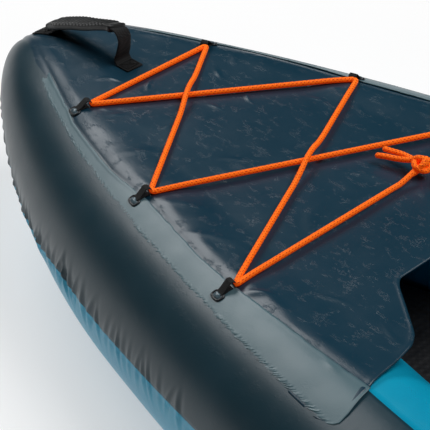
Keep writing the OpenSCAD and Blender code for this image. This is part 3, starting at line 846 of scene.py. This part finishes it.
# ---- bungee lacing ----
LACING_FIRST = 0.290
LACING_PITCH = 0.225
LACING_OUT = (0.011, 0.026, 0.029)
CORD_R = 0.004
CORD_AIR = 0.0008
CORD_STEP = 0.0016           # distance between the rings of the cord's mesh
CORD_SIDES = 16
BRAID = 0.05                 # braid's height as a share of the cord's radius
KNOT_Y = 0.085
KNOT_R = 0.013
KNOT_IN = 0.006              # how far inside the knot the lacing ends
TURN_REACH = 0.012
CROSS_REACH = 0.062
CROSS_RISE = 0.0092


def loop_at(k, side):
    x = -HALF + LACING_FIRST + k * LACING_PITCH
    return np.array([x, side * (float(tube_y(x)) + LACING_OUT[k])])


KNOT_AT = np.array([-HALF + LACING_FIRST + 2 * LACING_PITCH, KNOT_Y])
ROUTE = [
    KNOT_AT - [0, KNOT_IN], loop_at(2, -1), loop_at(1, 1), loop_at(0, -1),
    loop_at(0, 1), loop_at(1, -1), loop_at(2, 1), KNOT_AT + [0, KNOT_IN],
]


def cord_point(p, lift=0.0):
    return np.array([p[0], p[1], float(deck_z(p[0], p[1])) + CORD_R + CORD_AIR + lift])


def crossing(s, t):
    """Share of strand s at which it crosses strand t."""
    u, v, w = ROUTE[s + 1] - ROUTE[s], ROUTE[t + 1] - ROUTE[t], ROUTE[t] - ROUTE[s]
    return (w[0] * v[1] - w[1] * v[0]) / (u[0] * v[1] - u[1] * v[0])


def lacing_points():
    """The cord's route over the deck, with a turn at each loop and a rise at each crossing."""
    over = {1: crossing(1, 5), 4: crossing(4, 2)}
    points = [cord_point(ROUTE[0], KNOT_R - CORD_R)]
    for s in range(7):
        a, b = ROUTE[s], ROUTE[s + 1]
        length = np.linalg.norm(b - a)
        if s:
            before = unit(ROUTE[s - 1] - a) * TURN_REACH
            after = unit(b - a) * TURN_REACH
            for t in (0.0, 0.25, 0.5, 0.75, 1.0):
                points.append(cord_point(a + (1 - t) ** 2 * before + t * t * after))
        for t in np.arange(0.10, 0.92, 0.05):
            lift = 0.0
            if s in over:
                gap = abs(t - over[s]) * length / CROSS_REACH
                lift = CROSS_RISE * (1 + math.cos(math.pi * gap)) / 2 if gap < 1 else 0.0
            points.append(cord_point(a + t * (b - a), lift))
    points.append(cord_point(ROUTE[7], KNOT_R - CORD_R))
    return points


def make_bungee():
    """The laced cord, from one side of the knot to the other."""
    path, steps = smooth_path(lacing_points(), CORD_STEP)
    verts, faces, marks = tube_along(path, steps, CORD_R, CORD_SIDES, braid=BRAID)
    cord = make_piece("shock_cord", verts, faces, CORD, marks=marks)
    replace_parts(cord, "bow_bungee")


def make_knot():
    """Both ends of the cord tied in one overhand knot, their tails towards the bow."""
    centre = cord_point(KNOT_AT, KNOT_R - CORD_R + 0.001)
    # a doubled overhand: in from one side, round the pair, through and out along the tail
    first = [
        (0, -20, -6), (2, -10, -3), (6, 1, 4), (3, 9, 7), (-5, 8, 3), (-7, -1, -4), (-2, -9, -3),
        (6, -7, 5), (4, 2, 10), (-6, 1, 9), (-16, -3, 3), (-34, -9, -1), (-52, -14, -3), (-66, -19, -5),
    ]
    second = [
        (0, 22, -6), (-1, 13, -4), (-7, 6, 1), (-8, -5, 4), (0, -12, 3), (9, -6, -2), (10, 4, -4),
        (5, 11, 1), (-3, 5, 8), (-11, 2, 3), (-22, 4, 0), (-38, 4, -1), (-54, 1, -2), (-68, -1, -3),
    ]
    parts, marks = [], {"run": [], "turn": []}
    for route in (first, second):
        path, steps = smooth_path(np.array(route) * MM + centre, CORD_STEP)
        verts, faces, mark = tube_along(path, steps, CORD_R, CORD_SIDES, braid=BRAID, round_ends=True)
        parts.append((verts, faces))
        for key in marks:
            marks[key].append(mark[key])
    verts, faces = joined(parts)
    knot = make_piece("shock_cord_knot", verts, faces, CORD,
                      marks={k: np.concatenate(v) for k, v in marks.items()})
    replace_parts(knot, "bungee_knot")


make_bungee()
make_knot()


LOOP_W = 0.012
LOOP_T = 0.0014
TAB_OUT = 0.020              # distance from a loop to the middle of its welded tab
TAB_LENGTH = 0.020
TAB_WIDTH = 0.015
TAB_SQUARE = 3.2             # a tab's outline: 2 is an ellipse, more is squarer
TAB_RIM = 0.66               # share of a tab's reach from which its dark rim, painted shade of the groove, starts


def over_strip(k, side):
    """A function that places (along, outboard, height) measures of one loop on its side of the boat."""
    x0, y0 = loop_at(k, side)
    reach = float(rad(x0)) + DECK_HIGH
    start = math.asin((abs(y0) - float(tube_y(x0))) / reach) * reach

    def place(along, out, height):
        along, out, height = (np.asarray(v, float) for v in (along, out, height))
        p = strip_point(x0 + along, start + out, height)
        return p if side > 0 else mirror_y(p)

    return place


def loop_band(place):
    """Webbing that runs in under the cord, round it and back, with both ends under the tab."""
    over = CORD_R + CORD_AIR + DECK_HIGH - STRIP_T - float(deck_lay(-HALF + LACING_FIRST, 0.15))
    r = CORD_R + 0.0022
    profile = [(0.017, 0.0009), (0.013, 0.0009), (0.008, 0.0009), (0.002, 0.0010)]
    bend = np.radians([25, 60, 95, 130, 160, 185])
    profile += [(-r * math.sin(t), over - r * math.cos(t)) for t in bend]
    profile += [(0.004, 0.0080), (0.008, 0.0054), (0.012, 0.0033), (0.015, 0.0024), (0.018, 0.0022)]
    path, _ = smooth_path([place(0, out, up) for out, up in profile], 0.0008)
    across = unit(place(0.002, 0, 0) - place(-0.002, 0, 0))
    return ribbon(path, np.cross(across, tangents(path)), LOOP_W, LOOP_T)


def welded_tab(place, seed):
    """A small glossy moulded tab: a square with round corners, a pressed groove and a domed middle. Its
    groove and rim are coloured dark as painted shade.
    """
    rng = np.random.default_rng(seed)
    rings, spokes = 30, 48
    t = np.linspace(0.02, 1, rings)[:, None]
    a = (np.arange(spokes) / spokes * 2 * math.pi)[None]
    r = t * (1 + 0.03 * np.sin(2 * a + rng.uniform(0, 6)))
    square = np.abs(np.cos(a)) ** TAB_SQUARE + np.abs(np.sin(a)) ** TAB_SQUARE
    square = square ** (-1 / TAB_SQUARE)
    out = TAB_OUT + r * square * np.cos(a) * TAB_WIDTH / 2
    along = r * square * np.sin(a) * TAB_LENGTH / 2
    height = 0.0026 * np.clip(1 - (t / 0.62) ** 2, 0, 1) ** 0.7 + 0.0011 * hump(t - 0.85, 0.09)
    height = height + 0.0003 * np.sin(3 * a + rng.uniform(0, 6)) * hump(t - 0.4, 0.2)
    height = np.where(t > 0.985, -0.0008, height + 0.0012) + np.zeros_like(a)
    top = place(along, out, height)
    # faces from the groove outwards take the rim material: painted shade
    shade = np.where(np.tile(t[1:], (1, spokes)).ravel() > TAB_RIM, 1, 0)
    faces = [grid_faces(rings, spokes, wrap=True), [list(range(spokes))],
             [list(range((rings - 1) * spokes, rings * spokes))]]
    return top.reshape(-1, 3), faces, np.concatenate([shade, [0, 1]])


def make_loops():
    """The six loops' webbing as one piece and their tabs as another."""
    bands, tabs, shades = [], [], []
    for k in range(3):
        for side in (-1, 1):
            place = over_strip(k, side)
            bands.append(loop_band(place))
            verts, faces, shade = welded_tab(place, 60 + 7 * k + side)
            tabs.append((verts, faces))
            shades.append(shade)
    verts, faces = joined(bands)
    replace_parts(make_piece("lacing_loops_webbing", verts, faces, WEB), "lacing_loops")
    verts, faces = joined(tabs)
    patch = make_piece("lacing_loop_tabs", verts, faces, [PATCH, RIM],
                       index=np.concatenate(shades))
    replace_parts(patch, "lacing_patches")


make_loops()

# ---- carrying handles ----
HANDLE_INSET = 0.066
HANDLE_SPAN = 0.160
RIB_PITCH = 0.0082
HANDLE_W = 0.030
HANDLE_T = 0.0026
ANCHOR_UP = 0.0041           # handle's ends above the deck
# Middle line of the handle, in mm along and above the line between its ends: the arch that the
# webbing and the grip share, the webbing's outer leg below it, and the grip's overhang beyond it.
HANDLE_SHAPE = [
    (-37, 22.3), (-8, 30.9), (21, 37.5), (52, 45.9), (75.5, 51), (88.5, 49.9), (94.7, 40.3),
    (92.6, 27.4), (88.5, 14.7), (84.7, 5),
]
OUTER_LEG = [(-72, -0.8), (-64, 4), (-52, 12.5)]
OVERHANG = [(-77, 7.5), (-59, 15)]
OUTER_FOOT = [(0.038, 0.0016), (0.048, 0.0016), (0.060, 0.0017), (0.069, 0.0018)]
INNER_FOOT = [(0.2345, 0.0022), (0.240, 0.0018), (0.250, 0.0017), (0.259, 0.0016)]
LEG_JOINS = -0.045           # where the outer leg enters the grip
GRIP_ENDS = 0.082            # where the grip stops
HANDLE_ROLL = math.radians(15)
# Place along the line, and height, at which each foot of the webbing has joined the handle.
BLEND_OUTER = (-0.072, 0.016)
BLEND_INNER = (0.085, 0.030)
GRIP_INSIDE = 12             # path steps that the webbing runs on into the grip
GRIP_HALF_W = 0.0168
GRIP_HALF_T = 0.0056
GRIP_SQUARE = 0.45
GRIP_TIP = 0.72              # width of the grip's outer end, as a share of its full width
STITCH = 0.0032
STITCH_R = 0.0004
STITCH_EDGE = 0.003          # distance of a stitch row from the webbing's edge


def handle_line():
    """The handle's two ends."""
    x0 = -HALF + HANDLE_INSET
    x1 = x0 + HANDLE_SPAN
    a = np.array([x0, 0, top_z(x0) + ANCHOR_UP])
    b = np.array([x1, 0, top_z(x1) + ANCHOR_UP])
    return a, b


def in_handle(along, above):
    """A point in the handle's own plane."""
    a, b = handle_line()
    run = unit(b - a)
    return (a + b) / 2 + run * along + np.array([-run[2], 0, run[0]]) * above


def deck_line(x, lift):
    return np.array([x, 0.0, top_z(x) + lift])


def handle_curve(points):
    """A curve through the points: its path, its normals and its places along the handle's line."""
    path, _ = smooth_path(points, 0.0012)
    a, b = handle_line()
    run = unit(b - a)
    along = (path - (a + b) / 2) @ run
    above = (path - (a + b) / 2) @ np.array([-run[2], 0, run[0]])
    # the inner end is twisted a little, its port edge up
    twist = HANDLE_ROLL * soft_step(-0.02, GRIP_ENDS, along) * soft_step(0.0, 0.052, above)
    level = np.array([0, 1.0, 0])
    up = unit(np.cross(tangents(path), level))
    normal = up * np.cos(twist)[:, None] + level * np.sin(twist)[:, None]
    return path, normal, along


def handle_band():
    """The whole webbing, foot to foot."""
    outer = [deck_line(-HALF + i, h) for i, h in OUTER_FOOT]
    inner = [deck_line(-HALF + i, h) for i, h in INNER_FOOT]
    arch = [in_handle(a * MM, h * MM) for a, h in OUTER_LEG + HANDLE_SHAPE]
    return handle_curve(outer + arch + inner)


def grip_sleeve():
    """The moulded sleeve: an oval section with finger ribs on top and a lip at each end."""
    path, up, along = handle_curve([in_handle(a * MM, h * MM) for a, h in OVERHANG + HANDLE_SHAPE])
    last = int(np.argmax(along > GRIP_ENDS))
    path, up = path[:last], up[:last]
    across = np.cross(up, tangents(path))
    length = run_length(path)
    a = (np.arange(44) / 44 * 2 * math.pi)[None]
    reach = np.minimum(length, length[-1] - length)[:, None]
    lip = 0.0008 * hump(reach - 0.003, 0.002)
    close = dome(reach, 0.002, 0.5)
    taper = GRIP_TIP + (1 - GRIP_TIP) * soft_step(0, 0.034, length)[:, None]
    y = (GRIP_HALF_W + lip) * close * taper * rounded(np.cos(a), GRIP_SQUARE)
    z = (GRIP_HALF_T + lip) * close * rounded(np.sin(a), GRIP_SQUARE)
    rib = 0.0020 * np.clip(1.6 * np.sin(length * 2 * math.pi / RIB_PITCH), -0.3, 1)[:, None]
    on_top = (np.sin(a) > 0.2) * soft_step(0.95, 0.8, np.abs(np.cos(a)))
    rib = rib * soft_step(0.012, 0.018, reach) * on_top
    return ring_form(path[:, None] + up[:, None] * (z + rib)[..., None] + across[:, None] * y[..., None])


def foot_stitches(front, turn, name):
    """Rows of stitching that hold the webbing's foot, in a box with a cross."""
    x0, x1 = (-HALF + 0.0405, -HALF + 0.066) if front else (-HALF + 0.238, -HALF + 0.2555)
    w = HANDLE_W / 2 - STITCH_EDGE
    corners = [(x0, -w), (x1, -w), (x1, w), (x0, w)]
    lines = [(corners[i], corners[(i + 1) % 4]) for i in range(4)]
    lines += [(corners[0], corners[2]), (corners[1], corners[3])]
    parts = []
    for p, q in lines:
        p, q = np.array(p), np.array(q)
        count = max(3, int(np.linalg.norm(q - p) / STITCH))
        for i in range(count):
            s = p + (q - p) * (i + 0.15) / count
            e = p + (q - p) * (i + 0.85) / count
            arch = ((s, 0), ((s + e) / 2, 0.0005), (e, 0))
            points = [(x, y, top_z(x) + 0.0036 + lift) for (x, y), lift in arch]
            path, steps = smooth_path(points, 0.0006)
            parts.append(tube_along(path, steps, STITCH_R, 6)[:2])
    verts, faces = joined(parts)
    return make_piece(name, turn(verts), faces, WEB)


def make_handle(end, turn):
    """One carrying handle: two lengths of webbing that show, their stitches and the grip."""
    body = end + "_handle"
    path, up, along = handle_band()
    first, last = int(np.argmax(along > LEG_JOINS)), int(np.argmax(along > GRIP_ENDS))
    for front in (True, False):
        span = slice(0, first + GRIP_INSIDE) if front else slice(last - GRIP_INSIDE, None)
        verts, faces = ribbon(path[span], up[span], HANDLE_W, HANDLE_T)
        place = "outer" if front else "inner"
        name = "%s_handle_webbing_%s" % (end, place)
        piece = make_piece(name, turn(verts), faces, WEB, body=None)
        at, top = BLEND_OUTER if front else BLEND_INNER
        low, high = (tuple(map(float, turn(in_handle(at, h)))) for h in (0.001, top))
        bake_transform(piece)
        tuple(low)
        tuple(high)
        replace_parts(piece, end + ("_handle_strap" if front else "_handle_anchors"))
        foot_stitches(front, turn, "%s_handle_stitches_%s" % (end, place))
    verts, faces = grip_sleeve()
    name = end + "_handle_grip_sleeve"
    grip = make_piece(name, turn(verts), faces, GRIP, body=body)
    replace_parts(grip, end + "_handle_grip")


make_handle("bow", as_is)
make_handle("stern", mirror_x)

# ---- floor chamber ----
FLOOR_LOW, FLOOR_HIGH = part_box("floor_chamber")
FLOOR_AIR = 0.003
FLOOR_CORNER = 0.06          # corner radius of the floor in plan
FLOOR_END = 0.03             # rounding of its ends, seen from the side
FLOOR_SIDE = 0.036           # rounding of its long sides


def floor_half(x):
    """Half the floor's width, up to the tubes."""
    drop = np.maximum(0, crest(x) - rad(x) - FLOOR_HIGH[2])
    heading = tube_frame(x)[1]
    return tube_y(x) - np.sqrt(rad(x) ** 2 - drop ** 2) / heading[..., 0] - FLOOR_AIR


def make_floor():
    """The floor chamber, rounded at its sides and ends and fitted between the tubes."""
    low, high = FLOOR_LOW[0], FLOOR_HIGH[0]
    t = np.linspace(-1, 1, 200)
    x = (low + high) / 2 + (high - low) / 2 * np.sin(t * math.pi / 2)
    end = np.minimum(x - low, high - x)
    half = floor_half(x) - FLOOR_CORNER * (1 - dome(end, FLOOR_CORNER))
    a = np.arange(96) / 96 * 2 * math.pi
    mid = (FLOOR_LOW[2] + FLOOR_HIGH[2]) / 2
    tall = (FLOOR_HIGH[2] - FLOOR_LOW[2]) / 2
    y = (half[:, None] - FLOOR_SIDE) * np.clip(np.cos(a) * 1.5, -1, 1) + FLOOR_SIDE * np.cos(a)
    z = (tall - FLOOR_SIDE) * np.clip(np.sin(a) * 3, -1, 1) + FLOOR_SIDE * rounded(np.sin(a), 0.45)
    z = z * dome(end[:, None] + 0.001, FLOOR_END, 0.02)
    grid = np.stack([np.broadcast_to(x[:, None], y.shape), y, mid + z], -1)
    verts, faces = ring_form(grid)
    piece = make_piece("floor_chamber_skin", verts, faces, CHAMBER)
    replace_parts(piece, "floor_chamber")


make_floor()

# ---- seats ----
SEAT_CAP = 0.009             # how far the air may move a point of a cushion
CHANNEL_DEPTH = 0.006
CROWN = 0.006
FRAME_SEAM = 0.045           # distance of the sewn frame from a cushion's edge
SHRINK = 0.014               # a cushion starts this much smaller, as the air swells it
CUSHION_SQUARE = 0.30
VOXEL = 0.006
AIR_PRESSURE = 4.0
CLOTH_FRAMES = 20
PIPING_R = 0.0028
PIPING_IN = 0.004            # piping's outline is this much smaller than its cushion


def pillow(length, width, thick):
    """A plain padded block with rounded corners, lying flat and centred on the origin."""
    a = np.linspace(0, 2 * math.pi, 224, endpoint=False)
    rx, ry = length / 2, width / 2
    ox, oy = rx * rounded(np.cos(a), CUSHION_SQUARE), ry * rounded(np.sin(a), CUSHION_SQUARE)
    b = np.linspace(-math.pi / 2, math.pi / 2, 15)
    pull = np.cos(b) ** 0.5
    rings = []
    for k, p in zip(np.sin(b), pull):
        pull_in = thick * 0.42 * (1 - p)
        z = np.full_like(ox, thick / 2 * k)
        rings.append(np.stack([ox * (1 - pull_in / rx), oy * (1 - pull_in / ry), z], -1))
    grid = np.array(rings)
    fill_low = np.array([grid[0] * [s, s, 1] for s in (0.05, 0.3, 0.6, 0.85)])
    fill_high = np.array([grid[-1] * [s, s, 1] for s in (0.85, 0.6, 0.3, 0.05)])
    return ring_form(np.concatenate([fill_low, grid, fill_high]))


def read_points(mesh):
    co = np.empty(len(mesh.vertices) * 3)
    mesh.vertices.foreach_get("co", co)
    return co.reshape(-1, 3)


def inflate(piece):
    """Remeshes a piece and lets cloth pressure round it, no point moving further than the cap."""
    bpy.context.view_layer.objects.active = piece
    remesh = piece.modifiers.new("remesh", "REMESH")
    remesh.mode = "VOXEL"
    remesh.voxel_size = VOXEL
    graph = bpy.context.evaluated_depsgraph_get()
    mesh = bpy.data.meshes.new_from_object(piece.evaluated_get(graph))
    piece.modifiers.remove(remesh)
    piece.data = mesh
    start = end = read_points(mesh)
    cloth = piece.modifiers.new("cloth", "CLOTH")
    cloth.settings.use_pressure = True
    cloth.settings.uniform_pressure_force = AIR_PRESSURE
    cloth.settings.effector_weights.gravity = 0
    cloth.settings.mass = 0.3
    cloth.settings.quality = 5
    cloth.point_cache.frame_start = 1
    cloth.point_cache.frame_end = CLOTH_FRAMES
    scene = bpy.context.scene
    for f in range(1, CLOTH_FRAMES + 1):
        scene.frame_set(f)
    graph = bpy.context.evaluated_depsgraph_get()
    done = bpy.data.meshes.new_from_object(piece.evaluated_get(graph))
    piece.modifiers.remove(cloth)
    end = read_points(done)
    scene.frame_set(1)
    move = end - start
    size = np.linalg.norm(move, axis=1, keepdims=True)
    move = move * np.minimum(1, SEAT_CAP / np.maximum(size, 1e-9))
    mesh.vertices.foreach_set("co", (start + move).ravel())
    mesh.update()


def cushion_shape(name, length, width, thick, channels):
    """A padded panel in its own frame: inflated, then quilted with channels across its length."""
    verts, faces = pillow(length - SHRINK, width - SHRINK, thick - SHRINK)
    piece = make_piece(name, verts, faces, SEAT, body=None)
    inflate(piece)
    p = read_points(piece.data)
    u, v, w = np.abs(p / [length / 2, width / 2, thick / 2]).T
    inner = soft_step(1.0, 0.90, v) * soft_step(1.0, 0.94, u)
    crown = CROWN * np.clip(1 - u ** 2, 0, 1) * np.clip(1 - v ** 2, 0, 1)
    sign = np.sign(p[:, 2])
    face = soft_step(0.3, 0.8, w)
    dent = np.zeros(len(p))
    for c in channels:
        dent = np.maximum(dent, hump(p[:, 0] - c, 0.006))
    frame_line = np.minimum(length / 2 - np.abs(p[:, 0]), width / 2 - np.abs(p[:, 1])) - FRAME_SEAM
    dent = np.maximum(dent * (frame_line > -0.006), hump(frame_line, 0.005))
    wave = ripple(p[:, 0], p[:, 1], 5, (0.03, 0.09)) * 0.0007
    p[:, 2] += sign * face * (crown * (sign > 0) + (-CHANNEL_DEPTH * dent + wave) * inner)
    piece.data.vertices.foreach_set("co", p.ravel())
    return piece


def place_mesh(piece, name, matrix, body):
    """A copy of a shaped mesh, moved into its place."""
    mesh = piece.data.copy()
    mesh.name = name
    mesh.transform(matrix)
    mesh.materials[0] = SEAT
    mesh.polygons.foreach_set("use_smooth", np.full(len(mesh.polygons), True))
    copy = bpy.data.objects.new(name, mesh)
    bpy.context.collection.objects.link(copy)
    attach(copy, body)
    return copy


def piping(name, length, width, matrix, body):
    """Corded trim round the middle of a cushion's edge."""
    a = np.linspace(0, 2 * math.pi, 96, endpoint=False)
    x = (length - PIPING_IN) / 2 * rounded(np.cos(a), CUSHION_SQUARE)
    y = (width - PIPING_IN) / 2 * rounded(np.sin(a), CUSHION_SQUARE)
    path, steps = smooth_path(np.stack([x, y, np.zeros_like(x)], -1), 0.004, closed=True)
    verts, faces, _ = tube_along(path, steps, PIPING_R, 10)
    verts = np.array([matrix @ Vector(v) for v in verts])
    make_piece(name, verts, faces, SEAT_TRIM, body=body)


def box_of(node):
    low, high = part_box(node)
    return np.array(low), np.array(high)


BACK_LEAN = math.radians(12)
BACK_H = 0.360
BACK_T = 0.042
HINGE_R = 0.004
HINGE_AIR_BACK = 0.0015      # gap between a hinge and the backrest's face
HINGE_AIR_LOW = 0.003        # gap between a hinge and the backrest's lower edge


def make_seats():
    """Both seats, from one base cushion and one backrest that are shaped once."""
    low, high = box_of("front_seat_base")
    size = high - low
    base = cushion_shape("seat_base_shape", size[0], size[1], size[2], (-0.07, 0.03))
    back = cushion_shape("backrest_shape", BACK_H, size[1], BACK_T, (-0.06, 0.05))
    back_out = HINGE_R + HINGE_AIR_BACK + BACK_T / 2
    back_up = HINGE_R + HINGE_AIR_LOW + BACK_H / 2
    for end in ("front", "rear"):
        low, high = box_of(end + "_seat_base")
        middle = (low + high) / 2
        place = Matrix.Translation(middle)
        cushion = place_mesh(base, end + "_seat_cushion", place, end + "_seat")
        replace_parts(cushion, end + "_seat_base")
        piping(end + "_seat_piping", size[0], size[1], place, end + "_seat")
        hinge_low, hinge_high = box_of(end + "_seat_hinge")
        axis = np.array([(hinge_low[0] + hinge_high[0]) / 2, 0, hinge_high[2] - HINGE_R])
        # the backrest's own frame: its height along X, its thickness along Z
        stand = (
            Matrix.Translation(axis)
            @ Matrix.Rotation(BACK_LEAN, 4, "Y")
            @ Matrix.Translation((back_out, 0, back_up))
            @ Matrix.Rotation(-math.pi / 2, 4, "Y")
        )
        pad = place_mesh(back, end + "_backrest_cushion", stand, end + "_back")
        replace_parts(pad, end + "_backrest")
        piping(end + "_backrest_piping", BACK_H, size[1], stand, end + "_back")
    for shape in (base, back):
        bpy.data.objects.remove(shape)


make_seats()

# ---- CAD nodes that keep their shape and get their own finish ----
FINISH = {
    "bottom_panel": UNDER, "wear_strips": UNDER, "seat_grip_strips": SEAT_TRIM,
    "drain_socket": PLASTIC, "drain_plug": GRIP, "fin_base": PLASTIC,
    "front_seat_hinge": WEB, "rear_seat_hinge": WEB,
    "front_back_straps": WEB, "rear_back_straps": WEB,
}
for spot in ("port", "starboard", "floor"):
    FINISH[spot + "_valve_base"] = PLASTIC
    FINISH[spot + "_valve_cap"] = PLASTIC
    FINISH[spot + "_valve_stem"] = STEM


def finish_nodes():
    """Gives the CAD's own pieces their materials."""
    for name, mat in FINISH.items():
        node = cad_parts[name]
        for mat_slot in node.material_slots:
            mat_slot.material = mat


finish_nodes()

# ---- studio ----
BOW_FROM = Vector((-0.70, 0.10, 0.71))
TOP_FROM = Vector((0.36, 0.34, 0.87))
AIM = Vector((-1.2, -0.2, 0.29))
WORLD_FILL = 0.16
BACKDROP = 0.94
STUDIO_REACH = 14.0


def softbox(name, direction, distance, size, power):
    """A rectangular light that faces the aim from a direction."""
    data = bpy.data.lights.new(name, "AREA")
    data.shape = "RECTANGLE"
    data.size, data.size_y = size
    data.energy = power
    light = bpy.data.objects.new(name, data)
    light.location = AIM + direction * distance
    light.rotation_euler = (-direction).to_track_quat("-Z", "Y").to_euler()
    bpy.context.collection.objects.link(light)


def make_studio():
    """A pale floor, two softboxes, a dim surround and a bright backdrop that only the camera sees."""
    r = STUDIO_REACH
    verts = [(-r, -r, 0), (r, -r, 0), (r, r, 0), (-r, r, 0)]
    mesh = bpy.data.meshes.new("studio_floor")
    mesh.from_pydata(verts, [], [(0, 1, 2, 3)])
    mesh.materials.append(pale_floor("studio_floor_paint"))
    ground = bpy.data.objects.new("studio_floor", mesh)
    bpy.context.collection.objects.link(ground)
    softbox("bow_softbox", BOW_FROM, 4.2, (2.6, 1.7), 92)
    softbox("top_softbox", TOP_FROM, 4.6, (3.4, 2.6), 165)
    world = bpy.data.worlds.new("studio")
    world.use_nodes = True
    tree = world.node_tree
    fill = tree.nodes["Background"]
    fill.inputs["Strength"].default_value = WORLD_FILL
    backdrop = tree.nodes.new("ShaderNodeBackground")
    backdrop.inputs["Color"].default_value = (BACKDROP, BACKDROP, BACKDROP, 1)
    seen = tree.nodes.new("ShaderNodeLightPath")
    choose = tree.nodes.new("ShaderNodeMixShader")
    tree.links.new(seen.outputs["Is Camera Ray"], choose.inputs[0])
    tree.links.new(fill.outputs[0], choose.inputs[1])
    tree.links.new(backdrop.outputs[0], choose.inputs[2])
    tree.links.new(choose.outputs[0], tree.nodes["World Output"].inputs["Surface"])
    bpy.context.scene.world = world
    bpy.context.scene.view_settings.view_transform = "Standard"


make_studio()
